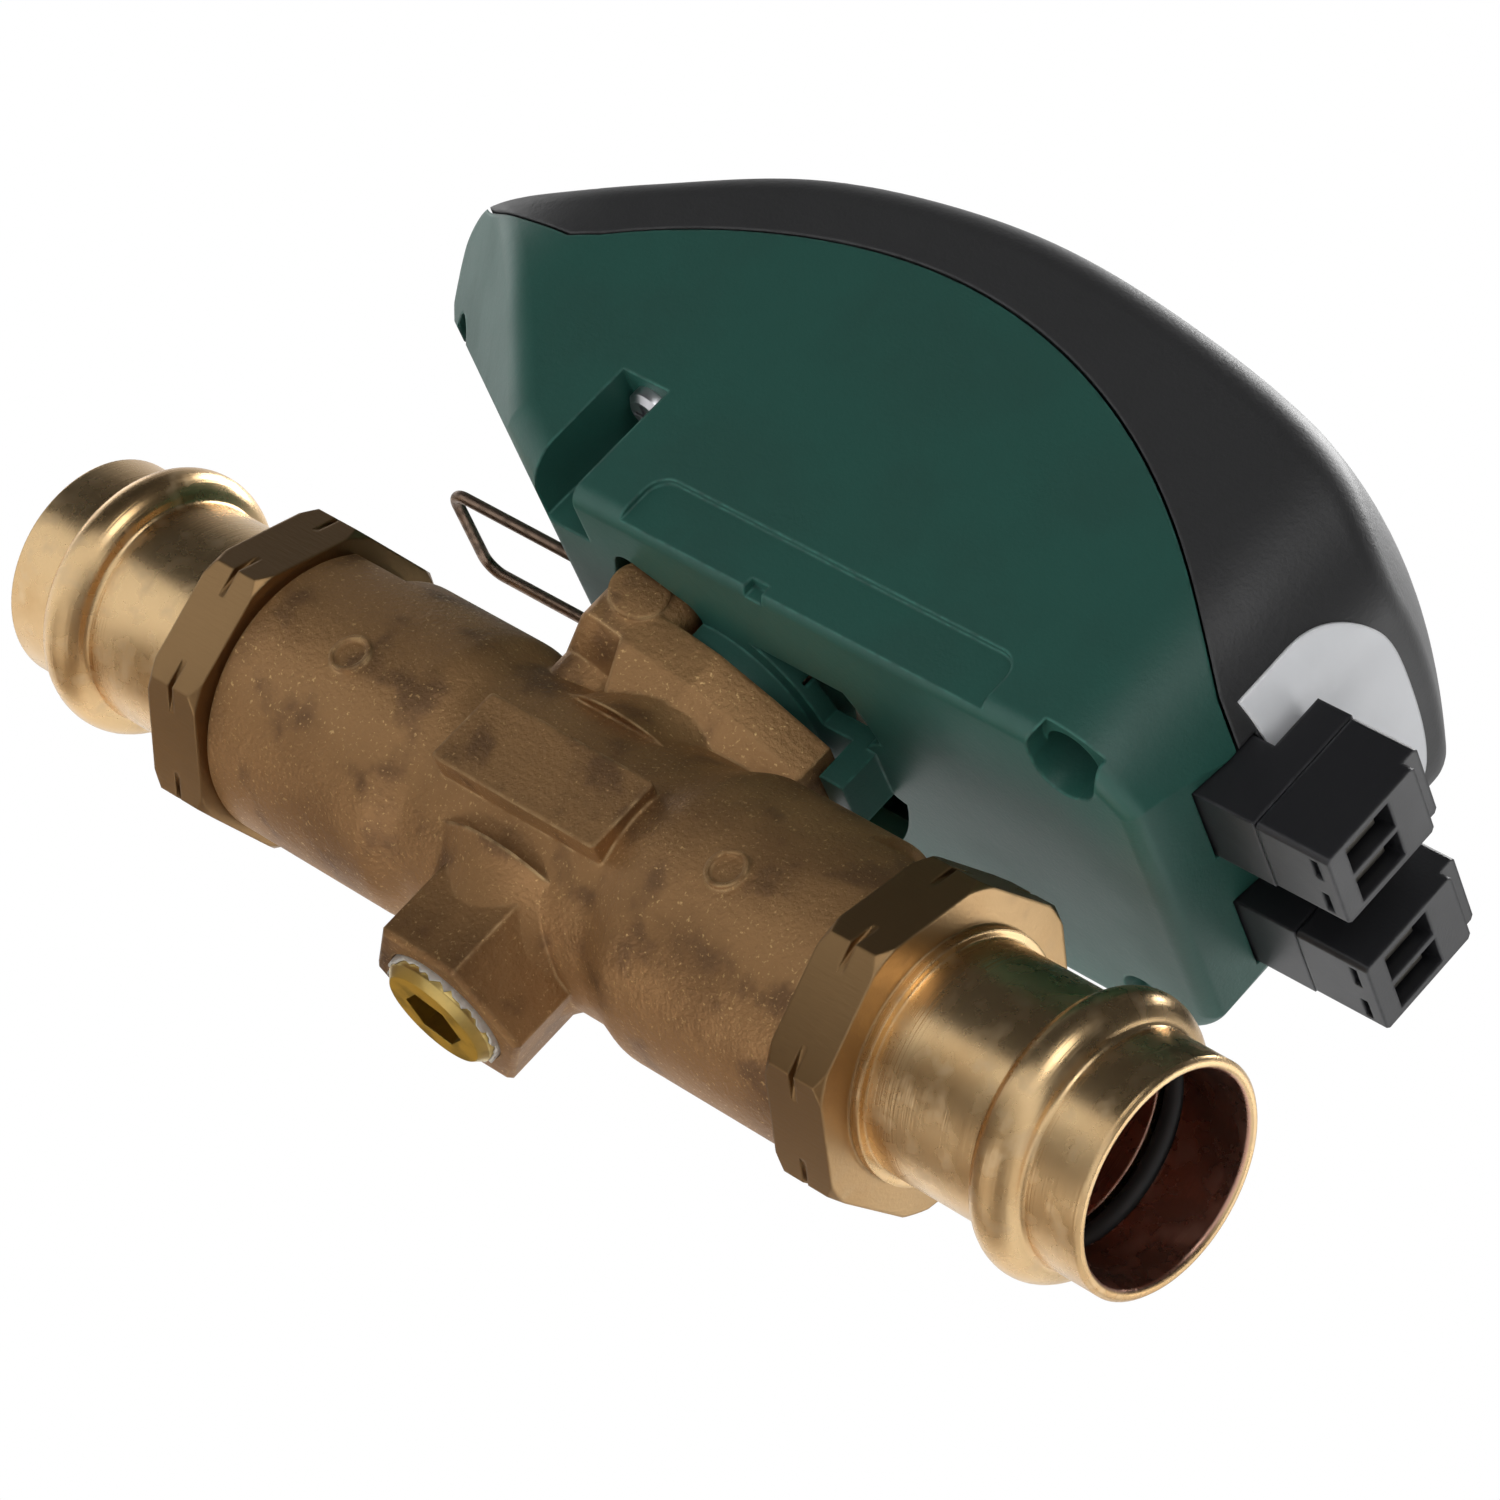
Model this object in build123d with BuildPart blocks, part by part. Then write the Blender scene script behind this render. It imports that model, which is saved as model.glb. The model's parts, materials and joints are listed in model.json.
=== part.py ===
from build123d import *
from math import cos, sin, tan, radians, sqrt, pi, acos
import os

os.makedirs("parts", exist_ok=True)

# Origin at the ball's centre, +X along the pipe to the outlet, +Z up the stem, millimetres

# Press ends
TUBE_HALF_LENGTH = 76.83
SOCKET_R = 11.2
TUBE_WALL = 1.25
TUBE_OUTER_R = SOCKET_R + TUBE_WALL
SOCKET_STOP_X = TUBE_HALF_LENGTH - 23.33
STOP_R = 9.5
WATERWAY_R = 7.5
BEAD_X = TUBE_HALF_LENGTH - 9.91
BEAD_CENTRE_R = 12.0
BEAD_MINOR_R = 3.0
BEAD_BLEND_R = 0.5
GROOVE_MINOR_R = 1.75
O_RING_MINOR_R = 1.36
O_RING_SEAT_GAP = 0.02
LIP_CHAMFER = 0.35
COLLAR_R = 13.4
COLLAR_END_X = 49.9

# Octagon wrench flats of the press ends
OCTAGON_SIDES = 8
OCTAGON_X = 41.3
OCTAGON_WIDTH = 7.4
OCTAGON_FLATS = 33.0
OCTAGON_CORNER_R = 17.9
OCTAGON_END_R = 17.2
OCTAGON_CHAMFER = 0.9
OCTAGON_GROOVE_WIDTH = 0.7
OCTAGON_GROOVE_DEPTH = 1.0
OUTLET_OCTAGON_ROLL = 7.2
INLET_OCTAGON_ROLL = 0.0

# Threaded shank of the press ends inside the body
SHANK_R = 12.6
SHANK_NOSE_R = 11.6
SHANK_START_X = 18.0
SHANK_NOSE_X = 11.9
SHANK_CLEARANCE = 0.08
SEAL_X = 38.4
SEAL_WIDTH = 1.8
SEAL_DEPTH = 0.9
SEAL_GAP = 0.03

# Cast body
BARREL_R = 15.7
WAIST_R = 14.3
WAIST_HALF_LENGTH = 13.5
SHOULDER_X = 17.5
SHOULDER_BLEND_R = 5.0
BARREL_EDGE = 0.6
CAVITY_R = 11.8
PAD_Y = 15.8
PAD_X0 = -10.4
PAD_X1 = 12.7
PAD_Z0 = -6.2
PAD_Z1 = 2.9
PAD_DEPTH = 5.0
PAD_DRAFT = 0.5
MARK_R = 2.25
MARK_HEIGHT = 0.35
MARK_RIM = 0.45
MARK_SPOTS = [(-27.5, -1.0), (26.5, -1.2)]
END_FLAT_R = 14.3
END_FLAT_LENGTH = 8.3
END_FLAT_ANGLES = (67.5, 112.5)

# Drain boss under the body
BOSS_CORNER_R = 10.36
BOSS_BOTTOM_Z = -22.1
BOSS_EDGE = 0.5
BOSS_FLARE_R = 13.2
BOSS_FLARE_Z = -9.5
BOSS_FLARE_END_Z = -17.5
BOSS_FLARE_END_R = 8.4
BOSS_FLARE_BULGE = 1.3
DRAIN_THREAD_R = 6.65
DRAIN_MOUTH_R = 7.2
DRAIN_MOUTH_DEPTH = 1.4
DRAIN_CLEARANCE = 0.05

# Drain plug
PLUG_FACE_Z = -23.9
PLUG_FACE_R = 5.8
PLUG_CHAMFER_HEIGHT = 0.9
PLUG_INNER_Z = -13.2
PLUG_SOCKET_FLATS = 6.35
PLUG_SOCKET_DEPTH = 6.0
PLUG_SOCKET_ROLL = 15
PLUG_BACK_R = 4.6
PLUG_BACK_DEPTH = 2.0
SEAL_RING_R = 7.1
SEAL_RING_LOW_Z = -22.5
SEAL_RING_GAP = 0.04

# Neck and its locating lugs
FOOT_R = 13.4
FOOT_Z = 8.5
COLUMN_R = 10.0
COLUMN_Z = 15.2
COLUMN_BULGE = 0.6
COLUMN_BULGE_RISE = 0.4
FLANGE_R = 10.8
FLANGE_Z = 20.5
LUG_CORNER = (-11.2, -14.4)
LUG_FACE_ANGLE = 19.3
LUG_LENGTH = 9.4
LUG_DEPTH = 9.0
LUG_BOTTOM_Z = 16.2
LUG_TOP_Z = 25.0
LUG_ROUND = 2.4
LEDGE_Z = 13.4
LEDGE_INSET = 4.0
WEB_LOW_Z = 8.0
DISC_R = 3.2
DISC_HEIGHT = 0.4
DISC_ALONG = 3.6
DISC_Z = 21.2
GUSSET = [(-6.0, 0.0), (-6.0, -12.6), (-2.3, -11.9), (3.0, -10.6), (9.5, -7.2), (15.6, -3.4), (15.6, 0.0)]
GUSSET_FOOT = [(-4.0, 0.0), (-4.0, -8.6), (-1.5, -8.8), (2.0, -8.4), (6.0, -6.4), (10.5, -3.4), (10.5, 0.0)]
KEY_LENGTH = 15.6
KEY_HALF_WIDTH = 3.4
KEY_BOTTOM_Z = 16.0
SPIGOT_R = 8.3
SPIGOT_TOP_Z = 27.0

# Wire clip
WIRE_R = 0.65
CLIP_LEG_Y = 6.3
CLIP_Z = 24.4
CLIP_LOOP_X = -42.3
CLIP_CORNER_R = 2.2
CLIP_END_X = 10.2
CLIP_SLOT_GAP = 0.2
CLIP_SLOT_WIDTH = 2 * (WIRE_R + CLIP_SLOT_GAP)

# Stem, glands and ball
BALL_R = 11.0
BALL_PORT_R = 7.0
SLOT_WIDTH = 3.0
SLOT_FLOOR_Z = 8.0
TANG_GAP = 0.06
SEAT_OUTER_R = 11.5
SEAT_INNER_R = 7.2
SEAT_BACK_X = 11.8
SEAT_GAP = 0.05
STEM_R = 2.9
SHOULDER_R = 4.1
SHOULDER_LOW_Z = 11.5
SHOULDER_TOP_Z = 12.7
STEM_BORE_R = 4.3
GLAND_BORE_R = 4.6
GLAND_LOW_Z = 13.5
STEM_TOP_Z = 33.0
SQUARE_LOW_Z = 27.4
SQUARE_FLATS = 4.0
SQUARE_GAP = 0.06
RUNNING_GAP = 0.05
WASHER_LOW_Z = 12.75
BUSHING_TOP_Z = 20.2
RING_MINOR_R = 0.82
RING_ZS = (21.1, 22.9)
CAP_LOW_Z = 23.9
CAP_TOP_Z = 26.8
FACE_GAP = 0.05

# Actuator shell
HALF_WIDTH = 22.3
FLOOR_Z = 22.7
WALL = 2.2
RAMP_X = -21.6
RAMP_ANGLE = 27.2
FACET_NORMAL = (-0.60, 0.52, -0.61)
FACET_X = -23.3
BOW_START_X = -37.5
BOW_R = 37.0
BOW_TURN = 48.5
REAR_X = 60.2
REAR_FOOT_X = 58.1
REAR_UPRIGHT_Z = 40.0
REAR_CORNER_R = 13.0
CROWN = [(-70.0, 50.5), (-61.0, 55.0), (-50.0, 58.2), (-40.6, 62.6), (-25.6, 70.7), (-8.5, 75.2),
         (6.0, 76.3), (24.0, 74.6), (41.8, 71.0), (52.0, 67.0), (60.2, 59.3), (66.0, 52.7)]
CROWN_EDGE_R = 4.5
NOSE_EDGE_R = 4.0
NOSE_EDGE_Y = 15.0
NOSE_EDGE_Z = 60.0
STEEP = 0.95
FLOOR_EDGE_R = 2.0
TALL = 90.0
SEAM_NOSE = [(-71.0, 57.0), (-64.0, 54.0), (-58.0, 51.0), (-52.0, 49.6), (-45.5, 49.1)]
SEAM_NOTCH = (-41.2, 49.0)
SEAM_ARCH = [(-37.8, 50.6), (-23.3, 58.4), (0.5, 63.4), (24.7, 58.9), (46.5, 46.4), (57.0, 37.2)]
SEAM_REAR_Z = 35.0
SEAM_GAP = 0.35

# Details of the shell's outside
CHANNEL_X0 = -22.3
CHANNEL_X1 = -15.7
CHANNEL_Y = 15.0
CHANNEL_TOP_Z = 38.0
CHANNEL_WALL = 1.6
CHANNEL_ROOF = 3.0
PANEL_X0 = -8.9
PANEL_X1 = 40.3
PANEL_TOP_Z = 29.5
PANEL_DEPTH = 0.7
PANEL_ROUND = 2.5
WINDOW_X = 9.8
WINDOW_WIDTH = 2.4
WINDOW_DEPTH = 1.9
WINDOW_HEIGHT = 1.6
CRESCENT_R = 21.7
CRESCENT_INNER_R = 12.6
CRESCENT_Y0 = -11.4
CRESCENT_Y1 = 13.0
CRESCENT_X0 = 5.5
SPOKE_Y0 = -2.6
SPOKE_Y1 = 4.0
FINGER_X0 = 16.4
FINGER_X1 = 19.6
FINGER_BOTTOM_Z = 17.6
SEAT_COLLAR_R = 10.4
SEAT_COLLAR_TOP_Z = 28.0
SPIGOT_GAP = 0.25
LUG_SLOT_GAP = 1.2
NOSE_SCREW_X = -59.0
NOSE_BORE_R = 4.7
NOSE_BORE_TOP_Z = 49.0
NOSE_BOSS_R = 6.2
NOSE_BOSS_TOP_Z = 50.0
SIDE_SCREW = (-19.0, HALF_WIDTH - 4.0)
REAR_SCREW = (REAR_X - 11.0, HALF_WIDTH - 4.4)
REAR_BORE_R = 3.2
REAR_BORE_TOP_Z = 31.0
REAR_MOUTH = (REAR_X - 10.2, HALF_WIDTH - 3.0)
REAR_MOUTH_R = 4.1
REAR_MOUTH_TOP_Z = 25.2
REAR_BOSS_R = 5.4
REAR_BOSS_TOP_Z = 34.0
COVER_POST_R = 3.2
POST_GAP = 0.2
CLOSE_GAP = 0.3

# Screws
HEAD_R = 2.7
HEAD_HEIGHT = 1.8
HEAD_CHAMFER = 0.6
SHANK_SCREW_R = 1.3
SCREW_HOLE_GAP = 0.25
SCREW_HOLE_R = SHANK_SCREW_R + SCREW_HOLE_GAP
SCREW_BITE = 7.0
NOSE_SCREW_BITE = 2.8
NOSE_HEAD_R = 3.6
RECESS_ARM = 1.7
RECESS_WIDTH = 0.6
RECESS_DEPTH = 0.9

# Gear train
OUTPUT_TEETH = 35
OUTPUT_MODULE = 1.0
PINION_TEETH = 10
SECOND_TEETH = 36
SECOND_MODULE = 0.8
FIRST_TEETH = 42
FIRST_MODULE = 0.6
MOTOR_TEETH = 12
SECOND_AXIS_X = OUTPUT_MODULE * (OUTPUT_TEETH + PINION_TEETH) / 2
FIRST_AXIS_X = SECOND_AXIS_X + SECOND_MODULE * (SECOND_TEETH + PINION_TEETH) / 2
MOTOR_AXIS_X = FIRST_AXIS_X - FIRST_MODULE * (FIRST_TEETH + MOTOR_TEETH) / 2
TOOTH_SHARE = 0.43
ADDENDUM = 0.8
DEDENDUM = 1.2
PRESSURE_ANGLE = radians(20)
FLANK_STEPS = 3
OUTPUT_LOW_Z = 31.0
OUTPUT_WIDTH = 5.0
OUTPUT_HUB_R = 7.0
SECOND_LOW_Z = 37.0
SECOND_WIDTH = 3.0
FIRST_LOW_Z = 41.0
FIRST_WIDTH = 2.6
GEAR_SHAFT_R = 1.5
SHAFT_GAP = 0.05
SECOND_SHAFT_TOP_Z = 40.4
CAM_R = 6.6
CAM_FLAT = 5.2
CAM_TOP_Z = 40.0
JOURNAL_R = 2.0

# Gear plate, motor and electronics
PLATE_Z = 44.2
PLATE_THICKNESS = 1.5
PLATE_X0 = -31.0
PLATE_X1 = 46.0
PLATE_POST_Y = HALF_WIDTH - 5.8
PLATE_POSTS = [(-25.0, 11.0), (-25.0, -11.0), (31.0, PLATE_POST_Y), (31.0, -PLATE_POST_Y)]
PLATE_POST_R = 2.6
PLATE_INSET = 0.6
MOTOR_R = 12.0
MOTOR_HEIGHT = 15.5
MOTOR_CAP_R = 4.0
MOTOR_CAP_HEIGHT = 1.8
MOTOR_SHAFT_R = 1.0
MOTOR_WALL = 1.5
ROTOR_R = 8.5
ROTOR_GAP = 0.5
MOTOR_COLLAR_R = 3.0
CAPACITOR_R = 4.5
CAPACITOR_LENGTH = 20.0
CAPACITOR_Y = 5.5
CAPACITOR_X = -11.0
SWITCH_FACE_X = -9.0
SWITCH_LENGTH = 18.0
SWITCH_WIDTH = 6.0
SWITCH_HEIGHT = 6.2
LEVER_THICKNESS = 0.4
LEVER_X = -7.3
BUTTON_R = 0.9
BOARD_X = 54.6
BOARD_THICKNESS = 1.2
BOARD_HALF_WIDTH = 12.8
BOARD_LOW_Z = 27.0
BOARD_TOP_Z = 58.0
RELAY_SIZE = (7.8, 10.0, 9.0)
CHIP_SIZE = 5.0
CHIP_DEPTH = 1.6
CHIP_Y = 3.0
CHIP_Z = 49.0
LED_R = 1.5
LED_SPOT = (-7.0, 50.0)
LED_END_X = 59.6

# Connectors
CONNECTOR_Y = 8.4
CONNECTOR_WIDTH = 9.55
HEADER_LOW_Z = 29.7
HEADER_TOP_Z = 38.0
HEADER_STEP_X = 62.1
HEADER_END_X = 66.3
PLUG_TOP_Z = 44.5
PLUG_X0 = 66.5
PLUG_LENGTH = 8.8
PLUG_FRONT_STEP = 1.2
PLUG_STEP_Z = 42.6
PLUG_EDGE = 0.4
CONTACT_WIDTH = 2.4
CONTACT_HEIGHT = 4.4
CONTACT_DEPTH = 1.0
WIRE_WINDOW_WIDTH = 3.6
WIRE_WINDOW_HEIGHT = 6.3
WIRE_WINDOW_PITCH = 4.3
WIRE_WINDOW_Z = 35.3
WIRE_WINDOW_DEPTH = 2.6
TEST_SLOT_WIDTH = 0.9
TEST_SLOT_LENGTH = 2.7
TEST_SLOT_BACK = 1.9
TEST_SLOT_DEPTH = 0.8
PIN_HALF = 0.5
PIN_PITCH = 5.0
PIN_Z = 34.0
PIN_END_X = 71.5
PIN_GAP = 0.12
WINDOW_GAP = 0.25

# Status label
LABEL_LOW_Z = 38.6
LABEL_THICKNESS = 0.25
LABEL_HALF_WIDTH = 16.6
LABEL_SIDE_Z = 46.0
LABEL_SHOULDER = (12.6, 53.9)
LABEL_TOP_Z = 56.6


def finish(builder, label):
    builder.part.label = label
    export_step(builder.part, f"parts/{label}.step")


def involute(angle):
    return tan(angle) - angle


def gear_points(teeth, module, phase):
    """Corner points of a gear's outline, with one tooth centred on the phase angle."""
    pitch_r = module * teeth / 2
    base_r = pitch_r * cos(PRESSURE_ANGLE)
    tip_r = pitch_r + ADDENDUM * module
    root_r = pitch_r - DEDENDUM * module
    half_tooth = TOOTH_SHARE * pi / teeth + involute(PRESSURE_ANGLE)
    low_r = max(base_r, root_r)
    flank = []
    for step in range(FLANK_STEPS + 1):
        r = low_r + (tip_r - low_r) * step / FLANK_STEPS
        flank.append((r, half_tooth - involute(acos(base_r / r))))
    side = [(root_r, flank[0][1])] + flank if root_r < low_r else flank
    points = []
    for tooth in range(teeth):
        centre = radians(phase) + 2 * pi * tooth / teeth
        for r, half in side:
            points.append((r * cos(centre - half), r * sin(centre - half)))
        for r, half in reversed(side):
            points.append((r * cos(centre + half), r * sin(centre + half)))
    return points


def gear_solid(x, low_z, width, teeth, module, phase):
    """A plain toothed disc on a vertical axis at x."""
    with BuildPart() as disc:
        with BuildSketch(Plane((x, 0, low_z))):
            Polygon(*gear_points(teeth, module, phase), align=None)
        extrude(amount=width)
    return disc.part


def screw_solid(head_r, head_height, shank_r, shank_length):
    """Cross-recess screw pointing up, its head's underside at the origin."""
    with BuildPart() as screw:
        with BuildSketch(Plane.XY.offset(-head_height)):
            Circle(head_r)
        extrude(amount=head_height)
        chamfer(screw.faces().sort_by(Axis.Z)[0].edges(), HEAD_CHAMFER)
        with BuildSketch(Plane.XY):
            Circle(shank_r)
        extrude(amount=shank_length)
        with BuildSketch(Plane.XY.offset(-head_height)):
            Rectangle(2 * RECESS_ARM, RECESS_WIDTH)
            Rectangle(RECESS_WIDTH, 2 * RECESS_ARM)
        extrude(amount=RECESS_DEPTH, mode=Mode.SUBTRACT)
    return screw.part


def press_end(side, roll):
    """One press end on the side given by the sign of x."""
    nose = side * SHANK_NOSE_X
    end = side * TUBE_HALF_LENGTH
    blank_mid = OCTAGON_X + OCTAGON_WIDTH / 2
    with BuildPart() as press:
        with BuildSketch(Plane.YZ.offset(side * blank_mid)):
            RegularPolygon(OCTAGON_FLATS / 2, OCTAGON_SIDES, major_radius=False, rotation=roll)
        extrude(amount=OCTAGON_WIDTH / 2, both=True)
        with BuildSketch(Plane.XZ):
            with BuildLine():
                Polyline(
                    (side * OCTAGON_X, 0),
                    (side * OCTAGON_X, OCTAGON_END_R),
                    (side * (OCTAGON_X + OCTAGON_CHAMFER), OCTAGON_CORNER_R),
                    (side * (OCTAGON_X + OCTAGON_WIDTH - OCTAGON_CHAMFER), OCTAGON_CORNER_R),
                    (side * (OCTAGON_X + OCTAGON_WIDTH), OCTAGON_END_R),
                    (side * (OCTAGON_X + OCTAGON_WIDTH), 0),
                    close=True,
                )
            make_face()
        revolve(axis=Axis.X, mode=Mode.INTERSECT)
        with BuildSketch(Plane.XZ):
            with Locations((side * blank_mid, OCTAGON_CORNER_R)):
                Rectangle(OCTAGON_GROOVE_WIDTH, 2 * OCTAGON_GROOVE_DEPTH)
        revolve(axis=Axis.X, mode=Mode.SUBTRACT)
        bead_half = sqrt(BEAD_MINOR_R**2 - (TUBE_OUTER_R - BEAD_CENTRE_R) ** 2)
        with BuildSketch(Plane.XZ):
            with BuildLine():
                tube_start = (side * (BEAD_X - bead_half), TUBE_OUTER_R)
                tube_again = (side * (BEAD_X + bead_half), TUBE_OUTER_R)
                Polyline(
                    (nose, 0),
                    (nose, SHANK_NOSE_R),
                    (side * (SHANK_START_X + SHANK_CLEARANCE), SHANK_NOSE_R),
                    (side * (SHANK_START_X + SHANK_CLEARANCE), SHANK_R),
                    (side * SEAL_X, SHANK_R),
                    (side * SEAL_X, SHANK_R - SEAL_DEPTH),
                    (side * (SEAL_X + SEAL_WIDTH), SHANK_R - SEAL_DEPTH),
                    (side * (SEAL_X + SEAL_WIDTH), SHANK_R),
                    (side * OCTAGON_X, SHANK_R),
                    (side * OCTAGON_X, COLLAR_R),
                    (side * COLLAR_END_X, COLLAR_R),
                    (side * COLLAR_END_X, TUBE_OUTER_R),
                    tube_start,
                )
                ThreePointArc(tube_start, (side * BEAD_X, BEAD_CENTRE_R + BEAD_MINOR_R), tube_again)
                Polyline(
                    tube_again,
                    (end - side * LIP_CHAMFER, TUBE_OUTER_R),
                    (end, TUBE_OUTER_R - LIP_CHAMFER),
                    (end, 0),
                    (nose, 0),
                )
            make_face()
        revolve(axis=Axis.X)
        fillet(
            press.edges()
            .filter_by(GeomType.CIRCLE)
            .filter_by(lambda e: abs(abs(e.arc_center.X) - BEAD_X) < BEAD_MINOR_R)
            .filter_by(lambda e: abs(e.radius - TUBE_OUTER_R) < O_RING_SEAT_GAP),
            BEAD_BLEND_R,
        )
        groove_half = sqrt(GROOVE_MINOR_R**2 - (SOCKET_R - BEAD_CENTRE_R) ** 2)
        with BuildSketch(Plane.XZ):
            with BuildLine():
                groove_far = (side * (BEAD_X + groove_half), SOCKET_R)
                groove_near = (side * (BEAD_X - groove_half), SOCKET_R)
                Polyline(
                    (nose, 0),
                    (end, 0),
                    (end, SOCKET_R + LIP_CHAMFER),
                    (end - side * LIP_CHAMFER, SOCKET_R),
                    groove_far,
                )
                ThreePointArc(groove_far, (side * BEAD_X, BEAD_CENTRE_R + GROOVE_MINOR_R), groove_near)
                Polyline(
                    groove_near,
                    (side * SOCKET_STOP_X, SOCKET_R),
                    (side * SOCKET_STOP_X, STOP_R),
                    (side * COLLAR_END_X, STOP_R),
                    (side * OCTAGON_X, WATERWAY_R),
                    (nose, WATERWAY_R),
                    (nose, 0),
                )
            make_face()
        revolve(axis=Axis.X, mode=Mode.SUBTRACT)
    return press


def ring_about_x(x, major_r, minor_r):
    """A round rubber ring about the pipe axis."""
    with BuildPart() as ring:
        with BuildSketch(Plane.XZ):
            with Locations((x, major_r)):
                Circle(minor_r)
        revolve(axis=Axis.X)
    return ring


def bow_point(centre, radius, turn):
    """Point on a bow arc, the turn counted from the side wall towards the tip."""
    return (centre[0] - radius * sin(radians(turn)), centre[1] - radius * cos(radians(turn)))


def plan_outline(inset):
    """The shell's outline seen from above."""
    bow_centre = (BOW_START_X, BOW_R - HALF_WIDTH)
    bow_end = bow_point(bow_centre, BOW_R - inset, BOW_TURN)
    tip_r = (HALF_WIDTH - BOW_R + BOW_R * cos(radians(BOW_TURN))) / cos(radians(BOW_TURN))
    tip_centre_x = BOW_START_X - (BOW_R - tip_r) * sin(radians(BOW_TURN))
    corner_x = REAR_X - REAR_CORNER_R
    corner_y = HALF_WIDTH - REAR_CORNER_R
    corner_r = REAR_CORNER_R - inset
    half = HALF_WIDTH - inset
    with BuildSketch() as outline:
        with BuildLine():
            Line((REAR_X - inset, 0), (REAR_X - inset, -corner_y))
            ThreePointArc(
                (REAR_X - inset, -corner_y),
                (corner_x + corner_r * cos(pi / 4), -corner_y - corner_r * sin(pi / 4)),
                (corner_x, -half),
            )
            Line((corner_x, -half), (BOW_START_X, -half))
            ThreePointArc(
                (BOW_START_X, -half),
                bow_point(bow_centre, BOW_R - inset, BOW_TURN / 2),
                bow_end,
            )
            ThreePointArc(
                bow_end,
                bow_point((tip_centre_x, 0), tip_r - inset, (BOW_TURN + 90) / 2),
                (tip_centre_x - tip_r + inset, 0),
            )
            mirror(about=Plane.XZ)
        make_face()
    return outline.sketch


def side_profile(inset):
    """The shell seen from the side, without its crown."""
    ramp_end = -TALL
    slope = tan(radians(RAMP_ANGLE))
    ramp_start = RAMP_X + inset * tan(radians(RAMP_ANGLE / 2))
    floor = FLOOR_Z + inset
    with BuildSketch(Plane.XZ.offset(inset - HALF_WIDTH)) as profile:
        with BuildLine():
            Polyline(
                (ramp_start, floor),
                (REAR_FOOT_X - inset, floor),
                (REAR_X - inset, REAR_UPRIGHT_Z),
                (REAR_X - inset, TALL),
                (ramp_end, TALL),
                (ramp_end, floor + (ramp_start - ramp_end) * slope),
                close=True,
            )
        make_face()
    return profile.sketch


def domed_block(inset):
    """The plan outline under the crown, with its rounded upper edge."""
    with BuildPart() as domed:
        extrude(plan_outline(inset), amount=TALL)
        with BuildSketch(Plane.XZ):
            with BuildLine():
                crown = Spline(*[(x, z - inset) for x, z in CROWN])
                Polyline(crown @ 1, (CROWN[-1][0], 0), (CROWN[0][0], 0), crown @ 0)
            make_face()
        revolve(axis=Axis.X, mode=Mode.INTERSECT)
        top = domed.faces().sort_by(Axis.Z)[-1]
        fillet(top.edges(), CROWN_EDGE_R - inset)
    return domed.part


def shell_volume(inset):
    """The whole actuator's outside, moved inwards by the inset."""
    nx, ny, nz = FACET_NORMAL
    with BuildPart() as volume:
        extrude(side_profile(inset), amount=2 * (HALF_WIDTH - inset))
        extrude(plan_outline(inset), amount=TALL, mode=Mode.INTERSECT)
        for sign in (1, -1):
            point = (FACET_X - nx * inset, sign * (HALF_WIDTH - ny * inset), FLOOR_Z - nz * inset)
            split(bisect_by=Plane(point, z_dir=(nx, sign * ny, nz)), keep=Keep.BOTTOM)
        if inset == 0:
            fillet(volume.edges().filter_by(under_the_nose), NOSE_EDGE_R)
            floor_edges = volume.faces().sort_by(Axis.Z)[0].edges()
            fillet(floor_edges.filter_by(lambda e: e.center().X > RAMP_X / 2), FLOOR_EDGE_R)
        add(domed_block(inset), mode=Mode.INTERSECT)
    return volume.part


def under_the_nose(edge):
    """Whether an edge lies between the nose's facets and its side walls."""
    mid = edge.center()
    slanted = abs(edge.tangent_at(0.5).Z) < STEEP
    return slanted and mid.X < FACET_X and abs(mid.Y) > NOSE_EDGE_Y and mid.Z < NOSE_EDGE_Z


def seam_region(rise, above):
    """Everything below or above the seam between base and cover, raised by the rise."""
    far = -TALL if not above else 2 * TALL
    with BuildPart() as region:
        with BuildSketch(Plane.XZ):
            with BuildLine():
                nose = Spline(*[(x, z + rise) for x, z in SEAM_NOSE])
                notch = (SEAM_NOTCH[0], SEAM_NOTCH[1] + rise)
                arch = Spline(*[(x, z + rise) for x, z in SEAM_ARCH])
                Polyline(nose @ 1, notch, arch @ 0)
                Polyline(
                    arch @ 1,
                    (REAR_X, SEAM_REAR_Z + rise),
                    (TALL, SEAM_REAR_Z + rise),
                    (TALL, far),
                    (CROWN[0][0], far),
                    nose @ 0,
                )
            make_face()
        extrude(amount=HALF_WIDTH + WALL, both=True)
    return region.part


def column(x, y, radius, low_z, top_z):
    """An upright cylinder."""
    with BuildPart() as post:
        with BuildSketch(Plane((x, y, low_z))):
            Circle(radius)
        extrude(amount=top_z - low_z)
    return post.part


def block(x0, x1, y0, y1, z0, z1):
    """A box between two corners."""
    with BuildPart() as box:
        with BuildSketch(Plane(((x0 + x1) / 2, (y0 + y1) / 2, z0))):
            Rectangle(x1 - x0, y1 - y0)
        extrude(amount=z1 - z0)
    return box.part


def lug_outline(plane_z, inset, grow, sign):
    """A locating lug's outline at one height, drawn on its own plane."""
    along = (cos(radians(LUG_FACE_ANGLE)), sign * sin(radians(LUG_FACE_ANGLE)), 0)
    corner = (LUG_CORNER[0], sign * LUG_CORNER[1], plane_z)
    with BuildSketch(Plane(corner, x_dir=along, z_dir=(0, 0, 1))) as outline:
        mid_y = sign * (LUG_DEPTH + inset) / 2
        with Locations((LUG_LENGTH / 2, mid_y)):
            RectangleRounded(LUG_LENGTH + 2 * grow, LUG_DEPTH - inset + 2 * grow, LUG_ROUND)
    return outline.sketch


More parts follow.
